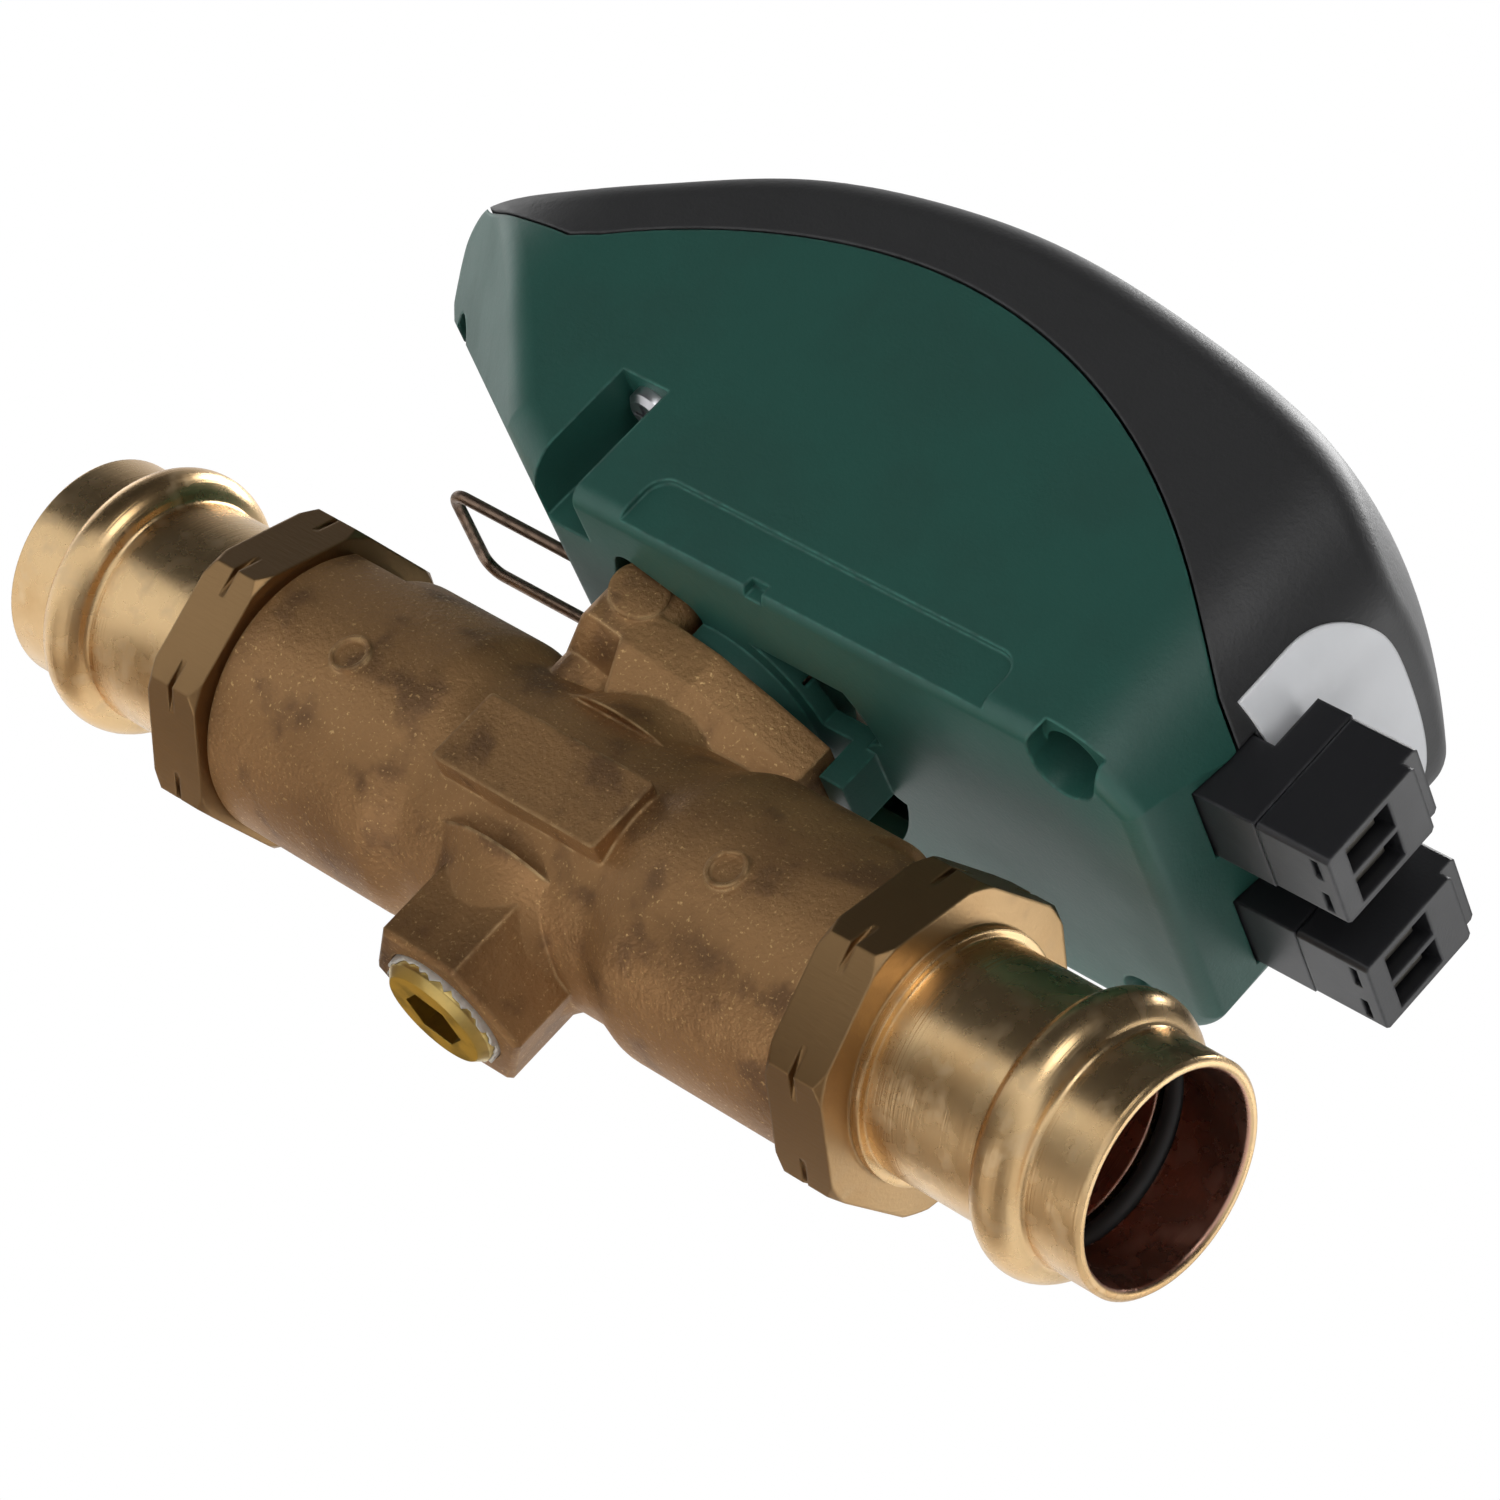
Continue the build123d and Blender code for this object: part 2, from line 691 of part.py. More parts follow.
def lug_solid(sign):
    """A lug with its raised disc and the ledge and web that carry it."""
    with BuildPart() as lug:
        extrude(lug_outline(LUG_BOTTOM_Z, 0, 0, sign), amount=LUG_TOP_Z - LUG_BOTTOM_Z)
        add(lug_outline(LEDGE_Z, LEDGE_INSET, 0, sign))
        add(lug_outline(LUG_BOTTOM_Z, 0, 0, sign))
        loft()
        extrude(lug_outline(WEB_LOW_Z, LEDGE_INSET, 0, sign), amount=LEDGE_Z - WEB_LOW_Z)
        turn = radians(LUG_FACE_ANGLE)
        outward = (sin(turn), -sign * cos(turn), 0)
        disc_spot = (
            LUG_CORNER[0] + DISC_ALONG * cos(turn) - LUG_ROUND * outward[0],
            sign * (LUG_CORNER[1] + DISC_ALONG * sin(turn)) - LUG_ROUND * outward[1],
            DISC_Z,
        )
        with BuildSketch(Plane(disc_spot, z_dir=outward)):
            Circle(DISC_R)
        extrude(amount=LUG_ROUND + DISC_HEIGHT)
    return lug.part


def connector_window(sign):
    """The space a header passes through in the rear wall."""
    mid_y = sign * CONNECTOR_Y
    half = CONNECTOR_WIDTH / 2 + WINDOW_GAP
    low = HEADER_LOW_Z - WINDOW_GAP
    return block(BOARD_X, REAR_X + WALL, mid_y - half, mid_y + half, low, HEADER_TOP_Z + WINDOW_GAP)


def pin_spots(sign):
    """Where one header's two pins stand in the YZ plane."""
    return [(sign * CONNECTOR_Y + half * PIN_PITCH, PIN_Z) for half in (-0.5, 0.5)]


# Cast body
with BuildPart() as valve_body:
    with BuildSketch(Plane.XZ) as barrel:
        with BuildLine():
            Polyline(
                (-OCTAGON_X, 0),
                (-OCTAGON_X, BARREL_R - BARREL_EDGE),
                (-OCTAGON_X + BARREL_EDGE, BARREL_R),
                (-SHOULDER_X, BARREL_R),
                (-WAIST_HALF_LENGTH, WAIST_R),
                (WAIST_HALF_LENGTH, WAIST_R),
                (SHOULDER_X, BARREL_R),
                (OCTAGON_X - BARREL_EDGE, BARREL_R),
                (OCTAGON_X, BARREL_R - BARREL_EDGE),
                (OCTAGON_X, 0),
                close=True,
            )
        make_face()
        shoulders = barrel.vertices().filter_by(lambda v: abs(v.X) < SHOULDER_X + BARREL_EDGE)
        fillet(shoulders, SHOULDER_BLEND_R)
    revolve(axis=Axis.X)
    with BuildSketch(Plane.XZ.offset(PAD_Y - PAD_DEPTH)):
        with Locations(((PAD_X0 + PAD_X1) / 2, (PAD_Z0 + PAD_Z1) / 2)):
            RectangleRounded(PAD_X1 - PAD_X0, PAD_Z1 - PAD_Z0, PAD_DRAFT)
    extrude(amount=PAD_DEPTH)
    with BuildSketch(Plane.XY.offset(BOSS_BOTTOM_Z)):
        RegularPolygon(BOSS_CORNER_R, 6)
    extrude(amount=BOSS_FLARE_Z - BOSS_BOTTOM_Z)
    chamfer(valve_body.faces().sort_by(Axis.Z)[0].edges(), BOSS_EDGE)
    with BuildSketch(Plane.XZ):
        with BuildLine():
            flare_end = (BOSS_FLARE_END_R, BOSS_FLARE_END_Z)
            flare_top = (BOSS_FLARE_R, BOSS_FLARE_Z)
            flare_mid = (BOSS_FLARE_END_R + BOSS_FLARE_BULGE, (BOSS_FLARE_END_Z + BOSS_FLARE_Z) / 2)
            ThreePointArc(flare_end, flare_mid, flare_top)
            Polyline(flare_top, (0, BOSS_FLARE_Z), (0, BOSS_FLARE_END_Z), flare_end)
        make_face()
    revolve(axis=Axis.Z)
    # Gusset from the lugs to the key, drawn in to its foot on the barrel
    for outline, level in ((GUSSET_FOOT, WEB_LOW_Z), (GUSSET, KEY_BOTTOM_Z)):
        with BuildSketch(Plane.XY.offset(level)):
            with BuildLine():
                Polyline(*outline)
                mirror(about=Plane.XZ)
            make_face()
    loft()
    with BuildSketch(Plane.XY.offset(KEY_BOTTOM_Z)):
        with BuildLine():
            Polyline(*GUSSET)
            mirror(about=Plane.XZ)
        make_face()
    extrude(amount=FLANGE_Z - KEY_BOTTOM_Z)
    with BuildSketch(Plane.XZ):
        with BuildLine():
            foot = (FOOT_R, FOOT_Z)
            neck_top = (COLUMN_R, COLUMN_Z)
            neck_mid = (COLUMN_R + COLUMN_BULGE, (FOOT_Z + COLUMN_Z) / 2 + COLUMN_BULGE_RISE)
            ThreePointArc(foot, neck_mid, neck_top)
            Polyline(
                neck_top,
                (FLANGE_R, KEY_BOTTOM_Z),
                (FLANGE_R, FLANGE_Z),
                (SPIGOT_R, FLANGE_Z),
                (SPIGOT_R, SPIGOT_TOP_Z),
                (0, SPIGOT_TOP_Z),
                (0, FOOT_Z),
                foot,
            )
        make_face()
    revolve(axis=Axis.Z)
    add(lug_solid(1))
    add(lug_solid(-1))
    with BuildSketch(Plane.XY.offset(KEY_BOTTOM_Z)):
        with Locations((KEY_LENGTH / 2, 0)):
            Rectangle(KEY_LENGTH, 2 * KEY_HALF_WIDTH)
    extrude(amount=FLANGE_Z - KEY_BOTTOM_Z)
    for x, z in MARK_SPOTS:
        with BuildSketch(Plane.XZ.offset(BARREL_R - MARK_RIM)):
            with Locations((x, z)):
                Circle(MARK_R)
                Circle(MARK_R - MARK_RIM, mode=Mode.SUBTRACT)
        extrude(amount=MARK_RIM + MARK_HEIGHT)
    # Flats at the ends of the barrel, beside the neck
    for side in (1, -1):
        with BuildSketch(Plane.YZ.offset(side * (OCTAGON_X - END_FLAT_LENGTH / 2))):
            for angle in END_FLAT_ANGLES:
                reach = END_FLAT_R + END_FLAT_LENGTH / 2
                spot = (reach * cos(radians(angle)), reach * sin(radians(angle)))
                with Locations(Location((*spot, 0), (0, 0, angle))):
                    Rectangle(END_FLAT_LENGTH, 2 * END_FLAT_R)
        extrude(amount=END_FLAT_LENGTH / 2, both=True, mode=Mode.SUBTRACT)
    # Waterway, shank bores, drain and stem bores
    with BuildSketch(Plane.YZ):
        Circle(CAVITY_R)
    extrude(amount=SHANK_START_X, both=True, mode=Mode.SUBTRACT)
    for side in (1, -1):
        with BuildSketch(Plane.YZ.offset(side * (SHANK_START_X + OCTAGON_X) / 2)):
            Circle(SHANK_R + SHANK_CLEARANCE)
        extrude(amount=(OCTAGON_X - SHANK_START_X) / 2, both=True, mode=Mode.SUBTRACT)
    with BuildSketch(Plane.XY.offset(BOSS_BOTTOM_Z)):
        Circle(DRAIN_THREAD_R + DRAIN_CLEARANCE)
    extrude(amount=-BOSS_BOTTOM_Z, mode=Mode.SUBTRACT)
    with BuildSketch(Plane.XY.offset(BOSS_BOTTOM_Z)):
        Circle(DRAIN_MOUTH_R)
    extrude(amount=DRAIN_MOUTH_DEPTH, mode=Mode.SUBTRACT)
    with BuildSketch(Plane.XY):
        Circle(STEM_BORE_R)
    extrude(amount=GLAND_LOW_Z, mode=Mode.SUBTRACT)
    with BuildSketch(Plane.XY.offset(GLAND_LOW_Z)):
        Circle(GLAND_BORE_R)
    extrude(amount=SPIGOT_TOP_Z - GLAND_LOW_Z, mode=Mode.SUBTRACT)
    # Straight slots in the spigot for the clip's legs
    with BuildSketch(Plane.XY.offset(CLIP_Z - CLIP_SLOT_WIDTH / 2)):
        with Locations((0, CLIP_LEG_Y), (0, -CLIP_LEG_Y)):
            Rectangle(2 * KEY_LENGTH, CLIP_SLOT_WIDTH)
        with Locations((0, CLIP_LEG_Y + SPIGOT_R / 2), (0, -CLIP_LEG_Y - SPIGOT_R / 2)):
            Rectangle(SPIGOT_R, SPIGOT_R)
    extrude(amount=CLIP_SLOT_WIDTH, mode=Mode.SUBTRACT)
finish(valve_body, "valve_body")

# Press ends with their rubber rings and shank seals
outlet_press_end = press_end(1, OUTLET_OCTAGON_ROLL)
finish(outlet_press_end, "outlet_press_end")
inlet_press_end = press_end(-1, INLET_OCTAGON_ROLL)
finish(inlet_press_end, "inlet_press_end")
ring_r = BEAD_CENTRE_R + GROOVE_MINOR_R - O_RING_MINOR_R - O_RING_SEAT_GAP
for side, place in ((1, "outlet"), (-1, "inlet")):
    tube_ring = ring_about_x(side * BEAD_X, ring_r, O_RING_MINOR_R)
    finish(tube_ring, f"{place}_tube_ring")
    with BuildPart() as shank_seal:
        with BuildSketch(Plane.YZ.offset(side * (SEAL_X + SEAL_WIDTH / 2))):
            Circle(SHANK_R + SHANK_CLEARANCE)
            Circle(SHANK_R - SEAL_DEPTH + SEAL_GAP, mode=Mode.SUBTRACT)
        extrude(amount=SEAL_WIDTH / 2 - SEAL_GAP, both=True)
    finish(shank_seal, f"{place}_shank_seal")

# Ball seats
for side, place in ((1, "outlet"), (-1, "inlet")):
    with BuildPart() as ball_seat:
        with BuildSketch(Plane.XZ):
            with BuildLine():
                Polyline(
                    (side * BALL_PORT_R, SEAT_INNER_R),
                    (side * SEAT_BACK_X, SEAT_INNER_R),
                    (side * SEAT_BACK_X, SEAT_OUTER_R),
                    (side * BALL_PORT_R, SEAT_OUTER_R),
                    close=True,
                )
            make_face()
        revolve(axis=Axis.X)
        with BuildSketch(Plane.XZ):
            with BuildLine():
                pocket_r = BALL_R + SEAT_GAP
                CenterArc((0, 0), pocket_r, 0, 180)
                Line((-pocket_r, 0), (pocket_r, 0))
            make_face()
        revolve(axis=Axis.X, mode=Mode.SUBTRACT)
    finish(ball_seat, f"{place}_ball_seat")

# Ball with its port and stem slot
with BuildPart() as ball:
    with BuildSketch(Plane.XZ):
        with BuildLine():
            CenterArc((0, 0), BALL_R, 0, 180)
            Line((-BALL_R, 0), (BALL_R, 0))
        make_face()
    revolve(axis=Axis.X)
    with BuildSketch(Plane.YZ):
        Circle(BALL_PORT_R)
    extrude(amount=BALL_R, both=True, mode=Mode.SUBTRACT)
    with BuildSketch(Plane.XY.offset(SLOT_FLOOR_Z)):
        Rectangle(SLOT_WIDTH, 2 * BALL_R)
    extrude(amount=BALL_R, mode=Mode.SUBTRACT)
finish(ball, "ball")

# Stem: tang, shoulder, shaft and driving square
tang_reach = sqrt(BALL_R**2 - SLOT_FLOOR_Z**2) / 2
with BuildPart() as stem:
    with BuildSketch(Plane.XY.offset(SLOT_FLOOR_Z + TANG_GAP)):
        Rectangle(SLOT_WIDTH - 2 * TANG_GAP, 2 * tang_reach)
    extrude(amount=SHOULDER_LOW_Z - SLOT_FLOOR_Z)
    with BuildSketch(Plane.XY.offset(SHOULDER_LOW_Z)):
        Circle(SHOULDER_R)
    extrude(amount=SHOULDER_TOP_Z - SHOULDER_LOW_Z)
    with BuildSketch(Plane.XY.offset(SHOULDER_TOP_Z)):
        Circle(STEM_R)
    extrude(amount=SQUARE_LOW_Z - SHOULDER_TOP_Z)
    with BuildSketch(Plane.XY.offset(SQUARE_LOW_Z)):
        Rectangle(SQUARE_FLATS, SQUARE_FLATS)
    extrude(amount=STEM_TOP_Z - SQUARE_LOW_Z)
finish(stem, "stem")

# Thrust washer, bushing, stem rings and gland cap, stacked round the stem
stem_hole_r = STEM_R + RUNNING_GAP
sleeve_r = GLAND_BORE_R - FACE_GAP
with BuildPart() as thrust_washer:
    with BuildSketch(Plane.XY.offset(WASHER_LOW_Z)):
        Circle(STEM_BORE_R - FACE_GAP)
        Circle(stem_hole_r, mode=Mode.SUBTRACT)
    extrude(amount=GLAND_LOW_Z - WASHER_LOW_Z)
finish(thrust_washer, "thrust_washer")
with BuildPart() as gland_bushing:
    with BuildSketch(Plane.XY.offset(GLAND_LOW_Z)):
        Circle(sleeve_r)
        Circle(stem_hole_r, mode=Mode.SUBTRACT)
    extrude(amount=BUSHING_TOP_Z - GLAND_LOW_Z)
finish(gland_bushing, "gland_bushing")
with BuildPart() as stem_rings:
    for z in RING_ZS:
        with BuildSketch(Plane.XZ):
            with Locations(((STEM_R + GLAND_BORE_R) / 2, z)):
                Circle(RING_MINOR_R)
        revolve(axis=Axis.Z)
finish(stem_rings, "stem_rings")
with BuildPart() as gland_cap:
    with BuildSketch(Plane.XY.offset(CAP_LOW_Z)):
        Circle(sleeve_r)
        Circle(stem_hole_r, mode=Mode.SUBTRACT)
    extrude(amount=CAP_TOP_Z - CAP_LOW_Z)
finish(gland_cap, "gland_cap")

# Drain plug and its sealing tape
with BuildPart() as drain_plug:
    with BuildSketch(Plane.XY.offset(PLUG_FACE_Z)):
        Circle(PLUG_FACE_R)
    with BuildSketch(Plane.XY.offset(PLUG_FACE_Z + PLUG_CHAMFER_HEIGHT)):
        Circle(DRAIN_THREAD_R)
    loft()
    with BuildSketch(Plane.XY.offset(PLUG_FACE_Z + PLUG_CHAMFER_HEIGHT)):
        Circle(DRAIN_THREAD_R)
    extrude(amount=PLUG_INNER_Z - PLUG_FACE_Z - PLUG_CHAMFER_HEIGHT)
    with BuildSketch(Plane.XY.offset(PLUG_FACE_Z)):
        RegularPolygon(PLUG_SOCKET_FLATS / 2, 6, major_radius=False, rotation=PLUG_SOCKET_ROLL)
    extrude(amount=PLUG_SOCKET_DEPTH, mode=Mode.SUBTRACT)
    with BuildSketch(Plane.XY.offset(PLUG_INNER_Z - PLUG_BACK_DEPTH)):
        Circle(PLUG_BACK_R)
    extrude(amount=PLUG_BACK_DEPTH, mode=Mode.SUBTRACT)
finish(drain_plug, "drain_plug")
with BuildPart() as drain_seal:
    with BuildSketch(Plane.XY.offset(SEAL_RING_LOW_Z)):
        Circle(SEAL_RING_R)
        Circle(DRAIN_THREAD_R + SEAL_RING_GAP, mode=Mode.SUBTRACT)
    extrude(amount=BOSS_BOTTOM_Z + DRAIN_MOUTH_DEPTH - SEAL_RING_LOW_Z)
finish(drain_seal, "drain_seal")

# Wire clip: two straight legs joined by a loop that sticks out in front
with BuildPart() as retaining_clip:
    with BuildLine():
        FilletPolyline(
            (CLIP_END_X, CLIP_LEG_Y, CLIP_Z),
            (CLIP_LOOP_X, CLIP_LEG_Y, CLIP_Z),
            (CLIP_LOOP_X, -CLIP_LEG_Y, CLIP_Z),
            (CLIP_END_X, -CLIP_LEG_Y, CLIP_Z),
            radius=CLIP_CORNER_R,
        )
    with BuildSketch(Plane((CLIP_END_X, CLIP_LEG_Y, CLIP_Z), z_dir=(-1, 0, 0))):
        Circle(WIRE_R)
    sweep()
finish(retaining_clip, "retaining_clip")

# Actuator base: a shell below the seam with its floor openings and bosses
outside = shell_volume(0)
inside = shell_volume(WALL)
closing = shell_volume(WALL + CLOSE_GAP)
below_seam = seam_region(0, False)
above_seam = seam_region(SEAM_GAP, True)
with BuildPart() as bosses:
    for sign in (1, -1):
        add(
            block(
                CHANNEL_X0 - CHANNEL_WALL,
                CHANNEL_X1 + CHANNEL_WALL,
                min(sign * (CHANNEL_Y - CHANNEL_WALL), sign * HALF_WIDTH),
                max(sign * (CHANNEL_Y - CHANNEL_WALL), sign * HALF_WIDTH),
                FLOOR_Z,
                CHANNEL_TOP_Z + CHANNEL_ROOF,
            )
        )
        add(column(REAR_SCREW[0], sign * REAR_SCREW[1], REAR_BOSS_R, FLOOR_Z, REAR_BOSS_TOP_Z))
    add(column(NOSE_SCREW_X, 0, NOSE_BOSS_R, FLOOR_Z, NOSE_BOSS_TOP_Z))
    for x, y in PLATE_POSTS:
        add(column(x, y, PLATE_POST_R, FLOOR_Z, PLATE_Z))
    add(column(0, 0, SEAT_COLLAR_R, FLOOR_Z, SEAT_COLLAR_TOP_Z))
    add(column(SECOND_AXIS_X, 0, GEAR_SHAFT_R + WALL, FLOOR_Z, OUTPUT_LOW_Z - CLOSE_GAP))
    add(column(FIRST_AXIS_X, 0, GEAR_SHAFT_R + WALL, FLOOR_Z, SECOND_LOW_Z - CLOSE_GAP))
    add(
        block(
            BOARD_X - WALL / 2,
            REAR_FOOT_X,
            -BOARD_HALF_WIDTH,
            BOARD_HALF_WIDTH,
            FLOOR_Z,
            BOARD_LOW_Z,
        )
    )
    add(outside, mode=Mode.INTERSECT)
with BuildPart() as base_housing:
    add(outside)
    add(inside, mode=Mode.SUBTRACT)
    add(bosses.part)
    add(below_seam, mode=Mode.INTERSECT)
    # Collar that stands on the neck's flange
    add(column(0, 0, SEAT_COLLAR_R, FLANGE_Z, FLOOR_Z))
    add(column(0, 0, SPIGOT_R + SPIGOT_GAP, FLANGE_Z, SEAT_COLLAR_TOP_Z), mode=Mode.SUBTRACT)
    # Crescent openings round the neck, with the spoke between them
    with BuildSketch(Plane.XY.offset(FLOOR_Z)):
        Circle(CRESCENT_R)
        Circle(CRESCENT_INNER_R, mode=Mode.SUBTRACT)
        with Locations(((CRESCENT_X0 + CRESCENT_R) / 2, (CRESCENT_Y0 + CRESCENT_Y1) / 2)):
            Rectangle(CRESCENT_R - CRESCENT_X0, CRESCENT_Y1 - CRESCENT_Y0, mode=Mode.INTERSECT)
        with Locations((CRESCENT_R / 2, (SPOKE_Y0 + SPOKE_Y1) / 2)):
            Rectangle(2 * CRESCENT_R, SPOKE_Y1 - SPOKE_Y0, mode=Mode.SUBTRACT)
        with Locations((SECOND_AXIS_X, 0)):
            Circle(GEAR_SHAFT_R + WALL + LUG_SLOT_GAP, mode=Mode.SUBTRACT)
    extrude(amount=WALL, mode=Mode.SUBTRACT)
    # Finger beside the neck's key
    add(block(FINGER_X0, FINGER_X1, SPOKE_Y0, SPOKE_Y1, FINGER_BOTTOM_Z, FLOOR_Z))
    for sign in (1, -1):
        slot_height = LUG_TOP_Z - FLOOR_Z + WALL + LUG_SLOT_GAP
        extrude(
            lug_outline(FLOOR_Z - WALL, 0, LUG_SLOT_GAP, sign),
            amount=slot_height,
            mode=Mode.SUBTRACT,
        )
        # Screw channel, its screw hole and the shallow panel
        channel_y0 = min(sign * CHANNEL_Y, sign * (HALF_WIDTH + WALL))
        channel_y1 = max(sign * CHANNEL_Y, sign * (HALF_WIDTH + WALL))
        add(
            block(CHANNEL_X0, CHANNEL_X1, channel_y0, channel_y1, FLOOR_Z - WALL, CHANNEL_TOP_Z),
            mode=Mode.SUBTRACT,
        )
        roof_top = CHANNEL_TOP_Z + CHANNEL_ROOF
        add(
            column(SIDE_SCREW[0], sign * SIDE_SCREW[1], SCREW_HOLE_R, CHANNEL_TOP_Z, roof_top),
            mode=Mode.SUBTRACT,
        )
        with BuildSketch(Plane.XZ.offset(-sign * HALF_WIDTH)):
            with Locations(((PANEL_X0 + PANEL_X1) / 2, PANEL_TOP_Z - TALL / 2)):
                RectangleRounded(PANEL_X1 - PANEL_X0, TALL, PANEL_ROUND)
        extrude(amount=sign * PANEL_DEPTH, mode=Mode.SUBTRACT)
        window_y = sign * (HALF_WIDTH - WINDOW_DEPTH / 2)
        add(
            block(
                WINDOW_X - WINDOW_WIDTH / 2,
                WINDOW_X + WINDOW_WIDTH / 2,
                window_y - WINDOW_DEPTH / 2,
                window_y + WINDOW_DEPTH / 2,
                FLOOR_Z,
                FLOOR_Z + WINDOW_HEIGHT,
            ),
            mode=Mode.SUBTRACT,
        )
        add(
            column(REAR_SCREW[0], sign * REAR_SCREW[1], REAR_BORE_R, FLOOR_Z, REAR_BORE_TOP_Z),
            mode=Mode.SUBTRACT,
        )
        add(
            column(REAR_MOUTH[0], sign * REAR_MOUTH[1], REAR_MOUTH_R, FLOOR_Z, REAR_MOUTH_TOP_Z),
            mode=Mode.SUBTRACT,
        )
        add(
            column(REAR_SCREW[0], sign * REAR_SCREW[1], SCREW_HOLE_R, FLOOR_Z, REAR_BOSS_TOP_Z),
            mode=Mode.SUBTRACT,
        )
        leg_block = block(
            CLIP_LOOP_X,
            CLIP_END_X + 2 * CLIP_SLOT_GAP,
            min(sign * CLIP_LEG_Y - CLIP_SLOT_WIDTH / 2, sign * CLIP_LEG_Y + CLIP_SLOT_WIDTH / 2),
            max(sign * CLIP_LEG_Y - CLIP_SLOT_WIDTH / 2, sign * CLIP_LEG_Y + CLIP_SLOT_WIDTH / 2),
            CLIP_Z - CLIP_SLOT_WIDTH / 2,
            CLIP_Z + CLIP_SLOT_WIDTH / 2,
        )
        add(leg_block, mode=Mode.SUBTRACT)
        add(connector_window(sign), mode=Mode.SUBTRACT)
    add(column(NOSE_SCREW_X, 0, NOSE_BORE_R, FLOOR_Z, NOSE_BORE_TOP_Z), mode=Mode.SUBTRACT)
    add(column(NOSE_SCREW_X, 0, SCREW_HOLE_R, FLOOR_Z, NOSE_BOSS_TOP_Z + WALL), mode=Mode.SUBTRACT)
    for x, y in PLATE_POSTS:
        add(
            column(x, y, SHANK_SCREW_R + SCREW_HOLE_GAP / 2, PLATE_Z - SCREW_BITE, PLATE_Z),
            mode=Mode.SUBTRACT,
        )
    add(column(SECOND_AXIS_X, 0, GEAR_SHAFT_R, FLOOR_Z + WALL, OUTPUT_LOW_Z), mode=Mode.SUBTRACT)
    add(column(FIRST_AXIS_X, 0, GEAR_SHAFT_R, FLOOR_Z + WALL, SECOND_LOW_Z), mode=Mode.SUBTRACT)
finish(base_housing, "base_housing")

# Cover: a shell above the seam with posts for the screws
screw_spots = [(NOSE_SCREW_X, 0, NOSE_BOSS_TOP_Z)]
for sign in (1, -1):
    screw_spots.append((SIDE_SCREW[0], sign * SIDE_SCREW[1], CHANNEL_TOP_Z + CHANNEL_ROOF))
    screw_spots.append((REAR_SCREW[0], sign * REAR_SCREW[1], REAR_BOSS_TOP_Z))
with BuildPart() as lower_posts:
    for x, y, low in screw_spots:
        add(column(x, y, COVER_POST_R, low + POST_GAP, TALL))
    add(closing, mode=Mode.INTERSECT)
with BuildPart() as upper_posts:
    for x, y, low in screw_spots:
        add(column(x, y, COVER_POST_R, low + POST_GAP, TALL))
    add(outside, mode=Mode.INTERSECT)
    add(above_seam, mode=Mode.INTERSECT)
with BuildPart() as top_cover:
    add(outside)
    add(inside, mode=Mode.SUBTRACT)
    add(above_seam, mode=Mode.INTERSECT)
    add(lower_posts.part)
    add(upper_posts.part)
    for x, y, low in screw_spots:
        bite = NOSE_SCREW_BITE if y == 0 else SCREW_BITE
        add(column(x, y, SHANK_SCREW_R, low, low + POST_GAP + bite), mode=Mode.SUBTRACT)
    for sign in (1, -1):
        add(connector_window(sign), mode=Mode.SUBTRACT)
    with BuildSketch(Plane.YZ.offset(BOARD_X)):
        with Locations(LED_SPOT):
            Circle(LED_R + SHAFT_GAP)
    extrude(amount=REAR_X - BOARD_X + WALL, mode=Mode.SUBTRACT)
finish(top_cover, "top_cover")

# Status label, a thin sheet that follows the cover's rear wall
with BuildPart() as wall_skin:
    extrude(plan_outline(-LABEL_THICKNESS), amount=TALL)
    extrude(plan_outline(0), amount=TALL, mode=Mode.SUBTRACT)
with BuildPart() as status_label:
    with BuildSketch(Plane.YZ.offset(REAR_X - REAR_CORNER_R)):
        with BuildLine():
            label_low = (LABEL_HALF_WIDTH, LABEL_LOW_Z)
            label_side = (LABEL_HALF_WIDTH, LABEL_SIDE_Z)
            Polyline((0, LABEL_LOW_Z), label_low, label_side)
            Spline(
                label_side,
                LABEL_SHOULDER,
                (0, LABEL_TOP_Z),
                tangents=((0, 1), (-1, 0)),
            )
            mirror(about=Plane.YZ)
        make_face()
    extrude(amount=2 * REAR_CORNER_R)
    add(wall_skin.part, mode=Mode.INTERSECT)
finish(status_label, "status_label")

# Screws of the shell, heads down
with BuildPart() as nose_screw:
    nose_length = NOSE_BOSS_TOP_Z - NOSE_BORE_TOP_Z + POST_GAP + NOSE_SCREW_BITE
    with Locations((NOSE_SCREW_X, 0, NOSE_BORE_TOP_Z)):
        add(screw_solid(NOSE_HEAD_R, HEAD_HEIGHT, SHANK_SCREW_R, nose_length))
finish(nose_screw, "nose_screw")
with BuildPart() as side_screws:
    side_length = CHANNEL_ROOF + POST_GAP + SCREW_BITE
    with Locations(*[(SIDE_SCREW[0], sign * SIDE_SCREW[1], CHANNEL_TOP_Z) for sign in (1, -1)]):
        add(screw_solid(HEAD_R, HEAD_HEIGHT, SHANK_SCREW_R, side_length))
finish(side_screws, "side_screws")
with BuildPart() as rear_screws:
    rear_length = REAR_BOSS_TOP_Z - REAR_BORE_TOP_Z + POST_GAP + SCREW_BITE
    with Locations(*[(REAR_SCREW[0], sign * REAR_SCREW[1], REAR_BORE_TOP_Z) for sign in (1, -1)]):
        add(screw_solid(HEAD_R, HEAD_HEIGHT, SHANK_SCREW_R, rear_length))
finish(rear_screws, "rear_screws")
with BuildPart() as plate_screws:
    plate_top = PLATE_Z + PLATE_THICKNESS
    with Locations(*[Location((x, y, plate_top), (180, 0, 0)) for x, y in PLATE_POSTS]):
        add(screw_solid(HEAD_R, HEAD_HEIGHT, SHANK_SCREW_R, PLATE_THICKNESS + SCREW_BITE - POST_GAP))
finish(plate_screws, "plate_screws")

